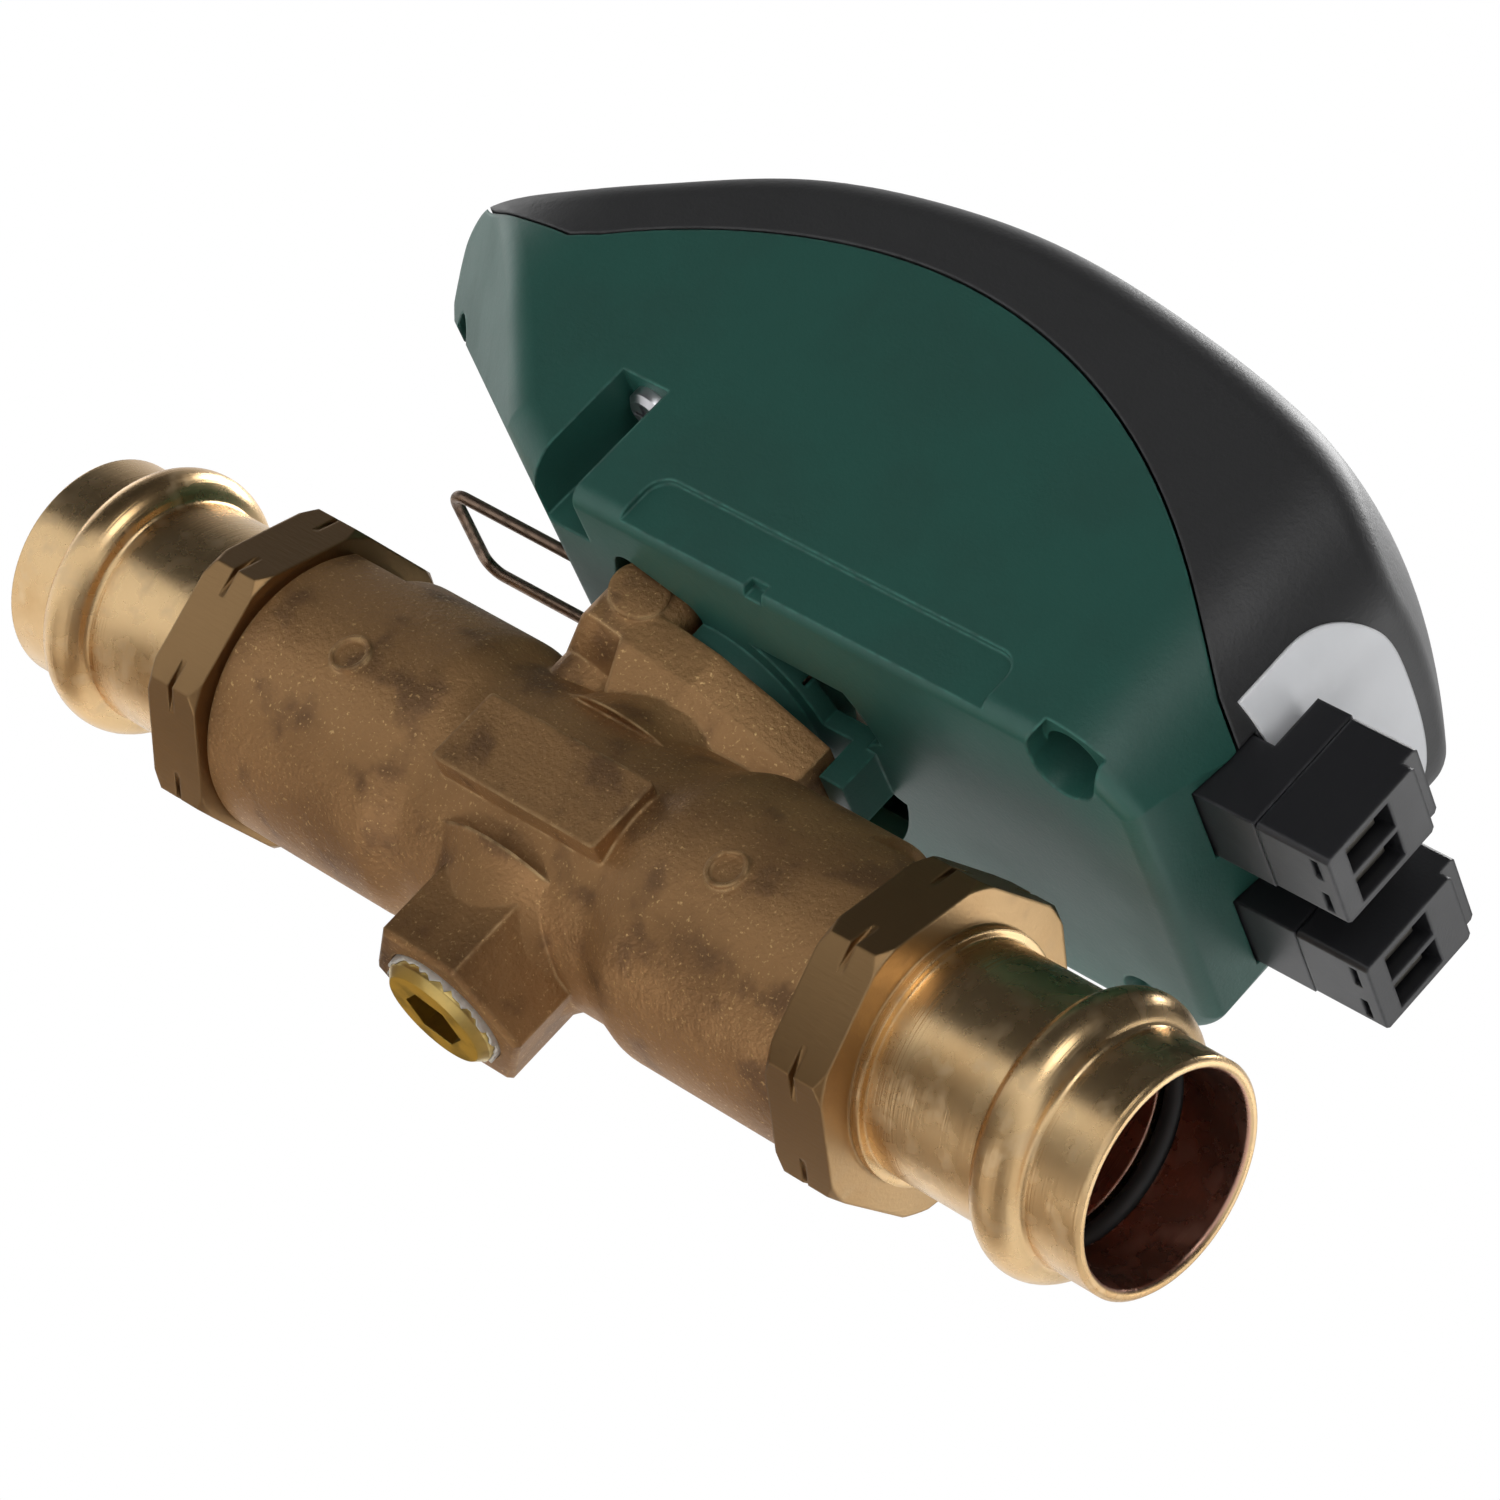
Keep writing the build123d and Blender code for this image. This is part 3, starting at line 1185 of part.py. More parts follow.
# Gear train from the motor down to the stem
with BuildPart() as output_gear:
    add(gear_solid(0, OUTPUT_LOW_Z, OUTPUT_WIDTH, OUTPUT_TEETH, OUTPUT_MODULE, 0))
    add(column(0, 0, OUTPUT_HUB_R, SEAT_COLLAR_TOP_Z + CLOSE_GAP, OUTPUT_LOW_Z))
    with BuildSketch(Plane.XY.offset(SEAT_COLLAR_TOP_Z)):
        Rectangle(SQUARE_FLATS + 2 * SQUARE_GAP, SQUARE_FLATS + 2 * SQUARE_GAP)
    extrude(amount=STEM_TOP_Z + POST_GAP - SEAT_COLLAR_TOP_Z, mode=Mode.SUBTRACT)
finish(output_gear, "output_gear")
output_top = OUTPUT_LOW_Z + OUTPUT_WIDTH
with BuildPart() as switch_cam:
    with BuildSketch(Plane.XY.offset(output_top)):
        Circle(CAM_R)
        with Locations((0, CAM_FLAT + CAM_R)):
            Rectangle(2 * CAM_R, 2 * CAM_R, mode=Mode.SUBTRACT)
    extrude(amount=CAM_TOP_Z - output_top)
    add(column(0, 0, JOURNAL_R, CAM_TOP_Z, PLATE_Z + PLATE_THICKNESS))
finish(switch_cam, "switch_cam")
mate_phase = 180 + 180 / PINION_TEETH
with BuildPart() as second_gear:
    add(gear_solid(SECOND_AXIS_X, SECOND_LOW_Z, SECOND_WIDTH, SECOND_TEETH, SECOND_MODULE, 0))
    pinion_width = SECOND_LOW_Z - OUTPUT_LOW_Z
    add(gear_solid(SECOND_AXIS_X, OUTPUT_LOW_Z, pinion_width, PINION_TEETH, OUTPUT_MODULE, mate_phase))
    add(
        column(SECOND_AXIS_X, 0, GEAR_SHAFT_R + SHAFT_GAP, OUTPUT_LOW_Z, SECOND_LOW_Z + SECOND_WIDTH),
        mode=Mode.SUBTRACT,
    )
finish(second_gear, "second_gear")
with BuildPart() as first_gear:
    add(gear_solid(FIRST_AXIS_X, FIRST_LOW_Z, FIRST_WIDTH, FIRST_TEETH, FIRST_MODULE, 0))
    pinion_width = FIRST_LOW_Z - SECOND_LOW_Z
    add(gear_solid(FIRST_AXIS_X, SECOND_LOW_Z, pinion_width, PINION_TEETH, SECOND_MODULE, mate_phase))
    add(
        column(FIRST_AXIS_X, 0, GEAR_SHAFT_R + SHAFT_GAP, SECOND_LOW_Z, FIRST_LOW_Z + FIRST_WIDTH),
        mode=Mode.SUBTRACT,
    )
finish(first_gear, "first_gear")
with BuildPart() as motor_pinion:
    motor_phase = 180 / MOTOR_TEETH
    add(gear_solid(MOTOR_AXIS_X, FIRST_LOW_Z, FIRST_WIDTH, MOTOR_TEETH, FIRST_MODULE, motor_phase))
    add(
        column(MOTOR_AXIS_X, 0, MOTOR_SHAFT_R, FIRST_LOW_Z, FIRST_LOW_Z + FIRST_WIDTH),
        mode=Mode.SUBTRACT,
    )
finish(motor_pinion, "motor_pinion")
motor_top = PLATE_Z + PLATE_THICKNESS + MOTOR_HEIGHT
with BuildPart() as motor_shaft:
    add(column(MOTOR_AXIS_X, 0, MOTOR_SHAFT_R, FIRST_LOW_Z, motor_top))
finish(motor_shaft, "motor_shaft")
with BuildPart() as gear_shafts:
    add(column(SECOND_AXIS_X, 0, GEAR_SHAFT_R, FLOOR_Z + WALL, SECOND_SHAFT_TOP_Z))
    add(column(FIRST_AXIS_X, 0, GEAR_SHAFT_R, FLOOR_Z + WALL, PLATE_Z + PLATE_THICKNESS))
finish(gear_shafts, "gear_shafts")

# Gear plate, motor, capacitors and end switch
with BuildPart() as gear_plate:
    extrude(plan_outline(WALL + PLATE_INSET).moved(Location((0, 0, PLATE_Z))), amount=PLATE_THICKNESS)
    with BuildSketch(Plane.XY.offset(PLATE_Z)):
        with Locations(((PLATE_X0 + PLATE_X1) / 2, 0)):
            Rectangle(PLATE_X1 - PLATE_X0, 2 * HALF_WIDTH)
    extrude(amount=PLATE_THICKNESS, mode=Mode.INTERSECT)
    with BuildSketch(Plane.XY.offset(PLATE_Z)):
        for x, y, low in screw_spots:
            with Locations((x, y)):
                Circle(COVER_POST_R + CLOSE_GAP)
        Circle(JOURNAL_R + SHAFT_GAP)
        with Locations((FIRST_AXIS_X, 0)):
            Circle(GEAR_SHAFT_R)
        with Locations((MOTOR_AXIS_X, 0)):
            Circle(MOTOR_COLLAR_R)
        with Locations(*PLATE_POSTS):
            Circle(SHANK_SCREW_R)
    extrude(amount=PLATE_THICKNESS, mode=Mode.SUBTRACT)
finish(gear_plate, "gear_plate")
with BuildPart() as motor_can:
    add(column(MOTOR_AXIS_X, 0, MOTOR_R, PLATE_Z + PLATE_THICKNESS, motor_top))
    fillet(motor_can.faces().sort_by(Axis.Z)[-1].edges(), MOTOR_CAP_HEIGHT)
    add(column(MOTOR_AXIS_X, 0, MOTOR_CAP_R, motor_top, motor_top + MOTOR_CAP_HEIGHT))
    add(column(MOTOR_AXIS_X, 0, MOTOR_COLLAR_R, PLATE_Z, PLATE_Z + PLATE_THICKNESS))
    add(
        column(MOTOR_AXIS_X, 0, MOTOR_SHAFT_R + SHAFT_GAP, PLATE_Z, motor_top + POST_GAP),
        mode=Mode.SUBTRACT,
    )
    rotor_low = PLATE_Z + PLATE_THICKNESS + MOTOR_WALL
    rotor_top = motor_top - MOTOR_WALL
    add(column(MOTOR_AXIS_X, 0, ROTOR_R + ROTOR_GAP, rotor_low, rotor_top), mode=Mode.SUBTRACT)
finish(motor_can, "motor_can")
with BuildPart() as motor_rotor:
    add(column(MOTOR_AXIS_X, 0, ROTOR_R, rotor_low + ROTOR_GAP, rotor_top - ROTOR_GAP))
    add(column(MOTOR_AXIS_X, 0, MOTOR_SHAFT_R, rotor_low, rotor_top), mode=Mode.SUBTRACT)
finish(motor_rotor, "motor_rotor")
with BuildPart() as return_capacitors:
    for sign in (1, -1):
        with BuildSketch(Plane.YZ.offset(CAPACITOR_X)):
            with Locations((sign * CAPACITOR_Y, PLATE_Z + PLATE_THICKNESS + CAPACITOR_R)):
                Circle(CAPACITOR_R)
        extrude(amount=CAPACITOR_LENGTH / 2, both=True)
finish(return_capacitors, "return_capacitors")
switch_x0 = SWITCH_FACE_X - SWITCH_LENGTH
switch_low = PLATE_Z - SWITCH_HEIGHT
with BuildPart() as end_switch:
    add(block(switch_x0, SWITCH_FACE_X, -SWITCH_WIDTH / 2, SWITCH_WIDTH / 2, switch_low, PLATE_Z))
    lever_mid_z = (switch_low + PLATE_Z) / 2
    with BuildSketch(Plane.YZ.offset(SWITCH_FACE_X)):
        with Locations((0, lever_mid_z)):
            Circle(BUTTON_R)
    extrude(amount=LEVER_X - SWITCH_FACE_X)
finish(end_switch, "end_switch")
with BuildPart() as switch_lever:
    half = SWITCH_WIDTH / 2
    lever_low = lever_mid_z - BUTTON_R
    lever_high = lever_mid_z + BUTTON_R
    add(block(LEVER_X, LEVER_X + LEVER_THICKNESS, -half, half, lever_low, lever_high))
    add(block(SWITCH_FACE_X, LEVER_X, -half, LEVER_THICKNESS - half, lever_low, lever_high))
finish(switch_lever, "switch_lever")

# Circuit board with its relay, chip and status light
board_face_x = BOARD_X + BOARD_THICKNESS
with BuildPart() as circuit_board:
    add(block(BOARD_X, board_face_x, -BOARD_HALF_WIDTH, BOARD_HALF_WIDTH, BOARD_LOW_Z, BOARD_TOP_Z))
finish(circuit_board, "circuit_board")
relay_depth, relay_width, relay_height = RELAY_SIZE
with BuildPart() as relay:
    relay_y = -BOARD_HALF_WIDTH + CLOSE_GAP
    relay_z = BOARD_TOP_Z - relay_height - CLOSE_GAP
    add(
        block(
            BOARD_X - relay_depth,
            BOARD_X,
            relay_y,
            relay_y + relay_width,
            relay_z,
            relay_z + relay_height,
        )
    )
finish(relay, "relay")
with BuildPart() as board_chip:
    add(block(BOARD_X - CHIP_DEPTH, BOARD_X, CHIP_Y, CHIP_Y + CHIP_SIZE, CHIP_Z, CHIP_Z + CHIP_SIZE))
finish(board_chip, "board_chip")
with BuildPart() as status_light:
    with BuildSketch(Plane.YZ.offset(board_face_x)):
        with Locations(LED_SPOT):
            Circle(LED_R)
    extrude(amount=LED_END_X - board_face_x)
finish(status_light, "status_light")

# Fixed headers, their pins and the plugs that pull off them
with BuildPart() as header_pins:
    for sign in (1, -1):
        with BuildSketch(Plane.YZ.offset(board_face_x)):
            with Locations(*pin_spots(sign)):
                Rectangle(2 * PIN_HALF, 2 * PIN_HALF)
        extrude(amount=PIN_END_X - board_face_x)
finish(header_pins, "header_pins")
for sign, place in ((-1, "power"), (1, "thermostat")):
    mid_y = sign * CONNECTOR_Y
    y0 = mid_y - CONNECTOR_WIDTH / 2
    y1 = mid_y + CONNECTOR_WIDTH / 2
    with BuildPart() as header:
        add(block(board_face_x, HEADER_END_X, y0, y1, HEADER_LOW_Z, HEADER_TOP_Z))
        add(block(HEADER_STEP_X, HEADER_END_X, y0, y1, HEADER_TOP_Z, PLUG_TOP_Z))
        with BuildSketch(Plane.YZ.offset(board_face_x)):
            with Locations(*pin_spots(sign)):
                Rectangle(2 * PIN_HALF, 2 * PIN_HALF)
        extrude(amount=HEADER_END_X - board_face_x, mode=Mode.SUBTRACT)
    finish(header, f"{place}_header")
    front_x = PLUG_X0 + PLUG_LENGTH
    window_spots = [(mid_y + half * WIRE_WINDOW_PITCH, WIRE_WINDOW_Z) for half in (-0.5, 0.5)]
    with BuildPart() as plug:
        add(block(PLUG_X0, front_x, y0, y1, HEADER_LOW_Z, PLUG_TOP_Z))
        add(block(front_x - PLUG_FRONT_STEP, front_x, y0, y1, PLUG_STEP_Z, PLUG_TOP_Z), mode=Mode.SUBTRACT)
        chamfer(plug.edges().filter_by(Axis.X), PLUG_EDGE)
        with BuildSketch(Plane.YZ.offset(PLUG_X0)):
            with Locations(*pin_spots(sign)):
                Rectangle(2 * (PIN_HALF + PIN_GAP), 2 * (PIN_HALF + PIN_GAP))
        extrude(amount=PIN_END_X + 2 * PIN_GAP - PLUG_X0, mode=Mode.SUBTRACT)
        with BuildSketch(Plane.YZ.offset(front_x - WIRE_WINDOW_DEPTH)):
            with Locations(*window_spots):
                Rectangle(WIRE_WINDOW_WIDTH, WIRE_WINDOW_HEIGHT)
        extrude(amount=WIRE_WINDOW_DEPTH, mode=Mode.SUBTRACT)
        with BuildSketch(Plane.XY.offset(HEADER_LOW_Z)):
            with Locations(*[(front_x - TEST_SLOT_BACK, y) for y, z in pin_spots(sign)]):
                Rectangle(TEST_SLOT_WIDTH, TEST_SLOT_LENGTH)
        extrude(amount=TEST_SLOT_DEPTH, mode=Mode.SUBTRACT)
    finish(plug, f"{place}_plug")
    with BuildPart() as contacts:
        with BuildSketch(Plane.YZ.offset(front_x - WIRE_WINDOW_DEPTH)):
            with Locations(*window_spots):
                Rectangle(CONTACT_WIDTH, CONTACT_HEIGHT)
        extrude(amount=CONTACT_DEPTH)
    finish(contacts, f"{place}_plug_contacts")
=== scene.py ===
# %% [markdown]
# # A motorized zone valve, seen from below
#
# The real object is a bronze ball valve that is pressed onto copper pipe, with a plastic power
# head clipped onto its neck. The CAD frame already holds every solid at its true size, so this
# lesson dresses it: a camera, soft light, one material per real finish, and the sealing tape,
# a small detail that a solid model leaves out.

# %% Load the frame
import bpy
import bmesh
import json
from math import pi
from mathutils import Matrix, Vector
from random import Random


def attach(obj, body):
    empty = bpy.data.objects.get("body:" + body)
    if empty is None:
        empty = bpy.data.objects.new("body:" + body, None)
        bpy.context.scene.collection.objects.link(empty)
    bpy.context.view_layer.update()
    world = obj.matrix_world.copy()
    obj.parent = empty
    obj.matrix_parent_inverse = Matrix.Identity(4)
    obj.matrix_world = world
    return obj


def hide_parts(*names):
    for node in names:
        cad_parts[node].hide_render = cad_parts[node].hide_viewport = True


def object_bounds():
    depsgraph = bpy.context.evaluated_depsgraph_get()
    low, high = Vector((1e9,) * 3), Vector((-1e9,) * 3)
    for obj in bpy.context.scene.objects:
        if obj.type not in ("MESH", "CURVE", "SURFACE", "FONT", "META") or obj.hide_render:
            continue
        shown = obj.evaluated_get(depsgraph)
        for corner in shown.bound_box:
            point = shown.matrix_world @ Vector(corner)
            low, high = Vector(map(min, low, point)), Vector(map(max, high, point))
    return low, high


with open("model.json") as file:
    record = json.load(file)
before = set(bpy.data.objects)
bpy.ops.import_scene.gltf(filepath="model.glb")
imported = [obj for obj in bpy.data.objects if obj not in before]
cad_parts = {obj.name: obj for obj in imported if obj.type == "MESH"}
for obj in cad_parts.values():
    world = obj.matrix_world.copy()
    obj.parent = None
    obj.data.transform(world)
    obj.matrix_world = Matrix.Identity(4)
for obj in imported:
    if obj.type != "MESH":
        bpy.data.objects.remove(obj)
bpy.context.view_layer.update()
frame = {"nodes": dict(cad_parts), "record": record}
MM = 0.001
print("CAD nodes:", len(frame["nodes"]))

# %% [markdown]
# ## The camera
#
# The photograph looks up at the valve from below and in front, with a long lens. The camera was
# fitted to points that show in the photograph, such as the two round mouths of the pipe, so its
# place and its three axes are written down as they came out.

# %% Place the camera
CAMERA_SPOT = Vector((367.643, -441.761, -176.209)) * MM
CAMERA_RIGHT = Vector((0.7015, 0.2890, 0.6514))
CAMERA_UP = Vector((-0.3842, -0.6165, 0.6873))
FOCAL_PIXELS = 6055.9
IMAGE_PIXELS = 1500
SENSOR_MM = 36.0

camera_data = bpy.data.cameras.new("photo_camera")
camera_data.sensor_width = SENSOR_MM
camera_data.sensor_fit = "HORIZONTAL"
camera_data.lens = FOCAL_PIXELS / IMAGE_PIXELS * SENSOR_MM
camera_data.clip_start = 0.02
camera_data.clip_end = 20
camera = bpy.data.objects.new("photo_camera", camera_data)
back = CAMERA_RIGHT.cross(CAMERA_UP).normalized()
right = CAMERA_UP.cross(back).normalized()
turn = Matrix((right, back.cross(right), back)).transposed().to_4x4()
camera.matrix_world = Matrix.Translation(CAMERA_SPOT) @ turn
bpy.context.scene.collection.objects.link(camera)
bpy.context.scene.camera = camera
print("Lens:", round(camera_data.lens, 1), "mm")

# %% [markdown]
# ## Light and background
#
# The photograph has a pure white background and no shadow under the object. The faces turned to
# the camera are fairly dark, and those turned up, down or away are brighter, as in a white tent
# that is dark where the camera looks in. The world is plain grey as light and white for the
# camera. Reflections see it brighter behind the object than in front. One large lamp stands
# above, weak ones fill the other sides, and the pale floor throws light back up.

# %% Light the world
world = bpy.data.worlds.new("white_room")
bpy.context.scene.world = world
world.use_nodes = True
tree = world.node_tree
tree.nodes.clear()
path = tree.nodes.new("ShaderNodeLightPath")
shone = tree.nodes.new("ShaderNodeMath")
shone.operation = "MAXIMUM"
plain = tree.nodes.new("ShaderNodeBackground")
plain.inputs["Color"].default_value = (0.95, 0.97, 1.0, 1)
plain.inputs["Strength"].default_value = 0.13
toward = tree.nodes.new("ShaderNodeTexCoord")
behind = tree.nodes.new("ShaderNodeVectorMath")
behind.operation = "DOT_PRODUCT"
behind.inputs[1].default_value = (-0.45, 0.87, 0.10)
tent = tree.nodes.new("ShaderNodeMapRange")
tent.interpolation_type = "SMOOTHSTEP"
for label, value in (("From Min", 0.0), ("From Max", 0.85), ("To Min", 0.06), ("To Max", 1.0)):
    tent.inputs[label].default_value = value
mirrored = tree.nodes.new("ShaderNodeBackground")
white = tree.nodes.new("ShaderNodeBackground")
white.inputs["Color"].default_value = (1, 1, 1, 1)
mix_shine = tree.nodes.new("ShaderNodeMixShader")
mix_white = tree.nodes.new("ShaderNodeMixShader")
world_out = tree.nodes.new("ShaderNodeOutputWorld")
tree.links.new(path.outputs["Is Glossy Ray"], shone.inputs[0])
tree.links.new(path.outputs["Is Transmission Ray"], shone.inputs[1])
tree.links.new(toward.outputs["Generated"], behind.inputs[0])
tree.links.new(behind.outputs["Value"], tent.inputs["Value"])
tree.links.new(tent.outputs["Result"], mirrored.inputs["Strength"])
tree.links.new(shone.outputs[0], mix_shine.inputs["Fac"])
tree.links.new(plain.outputs[0], mix_shine.inputs[1])
tree.links.new(mirrored.outputs[0], mix_shine.inputs[2])
tree.links.new(path.outputs["Is Camera Ray"], mix_white.inputs["Fac"])
tree.links.new(mix_shine.outputs[0], mix_white.inputs[1])
tree.links.new(white.outputs[0], mix_white.inputs[2])
tree.links.new(mix_white.outputs[0], world_out.inputs["Surface"])

# %% Hang the lamps
LAMPS = {
    "top_lamp": ((-0.15, 0.25, 1.00), 0.60, 11.0),
    "front_lamp": ((0.45, -0.85, 0.25), 0.50, 2.0),
    "rear_lamp": ((0.75, 0.55, 0.40), 0.50, 2.0),
    "side_lamp": ((-0.85, 0.10, 0.25), 0.45, 0.7),
    "under_lamp": ((-0.05, -0.15, -0.90), 0.45, 3.0),
}
AIM = Vector((0, 0, 0.02))


def hang_lamp(name, spot, size, power):
    data = bpy.data.lights.new(name, "AREA")
    data.shape = "DISK"
    data.size = size
    data.energy = power
    lamp = bpy.data.objects.new(name, data)
    bpy.context.scene.collection.objects.link(lamp)
    facing = (Vector(spot) - AIM).to_track_quat("Z", "Y").to_matrix().to_4x4()
    lamp.matrix_world = Matrix.Translation(spot) @ facing


for name, (spot, size, power) in LAMPS.items():
    hang_lamp(name, spot, size, power)
print("Lamps:", len(LAMPS))

# %% [markdown]
# ## Helpers for materials
#
# Each material keeps its own Principled BSDF. Effects that several finishes share, such as mould
# grain, patchy colour, turned lines and edges with a painted highlight and some wear, are node
# groups with named inputs, so that every material can place them with its own values.


# %% Node group helper
def start_group(name, inputs, outputs):
    group = bpy.data.node_groups.new(name, "ShaderNodeTree")
    for label, kind, value in inputs:
        socket = group.interface.new_socket(label, in_out="INPUT", socket_type=kind)
        socket.default_value = value
    for label, kind in outputs:
        group.interface.new_socket(label, in_out="OUTPUT", socket_type=kind)
    return group, group.nodes.new("NodeGroupInput"), group.nodes.new("NodeGroupOutput")


def add_node(tree, kind, settings=None, **values):
    """A node with its settings and its plain input values, by name or number."""
    node = tree.nodes.new(kind)
    for key, value in (settings or {}).items():
        setattr(node, key, value)
    for key, value in values.items():
        node.inputs[key.replace("_", " ")].default_value = value
    return node


def use_group(tree, name, **values):
    node = tree.nodes.new("ShaderNodeGroup")
    node.node_tree = bpy.data.node_groups[name]
    for key, value in values.items():
        node.inputs[key.replace("_", " ")].default_value = value
    return node


FLOAT, VECTOR = "NodeSocketFloat", "NodeSocketVector"

# %% [markdown]
# ### Patches and grain
#
# Patches are slow changes of tone, made by a noise whose middle values are stretched between a
# low and a high limit. Grain is the fine texture of a mould or a sand casting: two sizes of
# noise added up, given out as a height for a Bump node.

# %% Build the patches group
group, given, result = start_group(
    "patches",
    [("Vector", VECTOR, (0, 0, 0)), ("Scale", FLOAT, 100), ("Detail", FLOAT, 4),
     ("Low", FLOAT, 0.4), ("High", FLOAT, 0.6)],
    [("Mask", FLOAT)],
)
noise = group.nodes.new("ShaderNodeTexNoise")
stretch = add_node(group, "ShaderNodeMapRange", {"interpolation_type": "SMOOTHSTEP"})
group.links.new(given.outputs["Vector"], noise.inputs["Vector"])
group.links.new(given.outputs["Scale"], noise.inputs["Scale"])
group.links.new(given.outputs["Detail"], noise.inputs["Detail"])
group.links.new(noise.outputs["Fac"], stretch.inputs["Value"])
group.links.new(given.outputs["Low"], stretch.inputs["From Min"])
group.links.new(given.outputs["High"], stretch.inputs["From Max"])
group.links.new(stretch.outputs["Result"], result.inputs["Mask"])

# %% Build the grain group
group, given, result = start_group(
    "grain",
    [("Vector", VECTOR, (0, 0, 0)), ("Fine Scale", FLOAT, 2000), ("Coarse Scale", FLOAT, 400),
     ("Coarse Share", FLOAT, 0.5)],
    [("Height", FLOAT)],
)
fine = add_node(group, "ShaderNodeTexNoise", Detail=3.0, Roughness=0.6)
coarse = add_node(group, "ShaderNodeTexNoise", Detail=3.0)
both = add_node(group, "ShaderNodeMix", {"data_type": "FLOAT"})
group.links.new(given.outputs["Vector"], fine.inputs["Vector"])
group.links.new(given.outputs["Vector"], coarse.inputs["Vector"])
group.links.new(given.outputs["Fine Scale"], fine.inputs["Scale"])
group.links.new(given.outputs["Coarse Scale"], coarse.inputs["Scale"])
group.links.new(given.outputs["Coarse Share"], both.inputs["Factor"])
group.links.new(fine.outputs["Fac"], both.inputs["A"])
group.links.new(coarse.outputs["Fac"], both.inputs["B"])
group.links.new(both.outputs["Result"], result.inputs["Height"])

# %% [markdown]
# ### Turned lines and edges with a painted highlight
#
# A lathe leaves fine rings round the pipe axis. Squeezing a noise along X and stretching it the
# other ways gives rings without a repeat. Edges come from a Bevel node: where its rounded
# normal leaves the true one, there is an edge, where a painted highlight goes with a little wear.

# %% Build the turned lines group
group, given, result = start_group(
    "turned_lines",
    [("Vector", VECTOR, (0, 0, 0)), ("Along", FLOAT, 3000), ("Across", FLOAT, 20)],
    [("Lines", FLOAT)],
)
stretch = group.nodes.new("ShaderNodeCombineXYZ")
squeezed = add_node(group, "ShaderNodeVectorMath", {"operation": "MULTIPLY"})
rings = add_node(group, "ShaderNodeTexNoise", Scale=1.0, Detail=4.0)
group.links.new(given.outputs["Along"], stretch.inputs["X"])
group.links.new(given.outputs["Across"], stretch.inputs["Y"])
group.links.new(given.outputs["Across"], stretch.inputs["Z"])
group.links.new(given.outputs["Vector"], squeezed.inputs[0])
group.links.new(stretch.outputs[0], squeezed.inputs[1])
group.links.new(squeezed.outputs[0], rings.inputs["Vector"])
group.links.new(rings.outputs["Fac"], result.inputs["Lines"])

# %% Build the edge wear and highlight group
group, given, result = start_group(
    "edge_wear_and_highlight",
    [("Vector", VECTOR, (0, 0, 0)), ("Radius", FLOAT, 0.0005), ("Breakup", FLOAT, 600)],
    [("Mask", FLOAT)],
)
rounded = add_node(group, "ShaderNodeBevel", {"samples": 4})
true = group.nodes.new("ShaderNodeNewGeometry")
same = add_node(group, "ShaderNodeVectorMath", {"operation": "DOT_PRODUCT"})
edge = add_node(group, "ShaderNodeMapRange", From_Min=0.995, From_Max=0.80, To_Min=0.0, To_Max=1.0)
chipped = add_node(group, "ShaderNodeTexNoise", Detail=4.0)
some = add_node(group, "ShaderNodeMapRange", From_Min=0.38, From_Max=0.62)
# This mask paints a highlight along every edge, together with a little wear.
wear_and_highlight = add_node(group, "ShaderNodeMath", {"operation": "MULTIPLY"})
group.links.new(given.outputs["Radius"], rounded.inputs["Radius"])
group.links.new(rounded.outputs["Normal"], same.inputs[0])
group.links.new(true.outputs["Normal"], same.inputs[1])
group.links.new(same.outputs["Value"], edge.inputs["Value"])
group.links.new(given.outputs["Vector"], chipped.inputs["Vector"])
group.links.new(given.outputs["Breakup"], chipped.inputs["Scale"])
group.links.new(chipped.outputs["Fac"], some.inputs["Value"])
group.links.new(edge.outputs["Result"], wear_and_highlight.inputs[0])
group.links.new(some.outputs["Result"], wear_and_highlight.inputs[1])
group.links.new(wear_and_highlight.outputs[0], result.inputs["Mask"])
print("Groups:", [g.name for g in bpy.data.node_groups])


# %% Material helpers
def new_finish(name, color, metallic, roughness):
    """A material with its Principled BSDF set plainly, and its Object coordinates."""
    material = bpy.data.materials.new(name)
    material.use_nodes = True
    tree = material.node_tree
    shader = tree.nodes["Principled BSDF"]
    shader.inputs["Base Color"].default_value = (*color, 1)
    shader.inputs["Metallic"].default_value = metallic
    shader.inputs["Roughness"].default_value = roughness
    place = tree.nodes.new("ShaderNodeTexCoord")
    return material, tree, shader, place.outputs["Object"]


def blend_colors(tree, mask, under, over):
    """Mixes two colours by a mask; under may be a colour or a socket."""
    node = add_node(tree, "ShaderNodeMix", {"data_type": "RGBA"})
    tree.links.new(mask, node.inputs["Factor"])
    for label, color in (("A", under), ("B", over)):
        socket = [s for s in node.inputs if s.name == label and s.type == "RGBA"][0]
        if isinstance(color, tuple):
            socket.default_value = (*color, 1)
        else:
            tree.links.new(color, socket)
    return [s for s in node.outputs if s.type == "RGBA"][0]


def blend_values(tree, mask, low, high):
    node = add_node(tree, "ShaderNodeMapRange", To_Min=low, To_Max=high)
    tree.links.new(mask, node.inputs["Value"])
    return node.outputs["Result"]


def raise_surface(tree, shader, height, distance, strength=1.0, normal=None):
    """A Bump node of that real depth in metres, between a height and the shader."""
    bump = add_node(tree, "ShaderNodeBump", Strength=strength, Distance=distance)
    tree.links.new(height, bump.inputs["Height"])
    if normal is not None:
        tree.links.new(normal, bump.inputs["Normal"])
    tree.links.new(bump.outputs["Normal"], shader.inputs["Normal"])
    return bump.outputs["Normal"]


def place_group(tree, name, vector, output, **values):
    node = use_group(tree, name, **values)
    tree.links.new(vector, node.inputs["Vector"])
    return node.outputs[output]


def soften_edges(tree, radius):
    """A rounded normal for the small radius that every moulded or machined edge has."""
    return add_node(tree, "ShaderNodeBevel", {"samples": 4}, Radius=radius).outputs["Normal"]
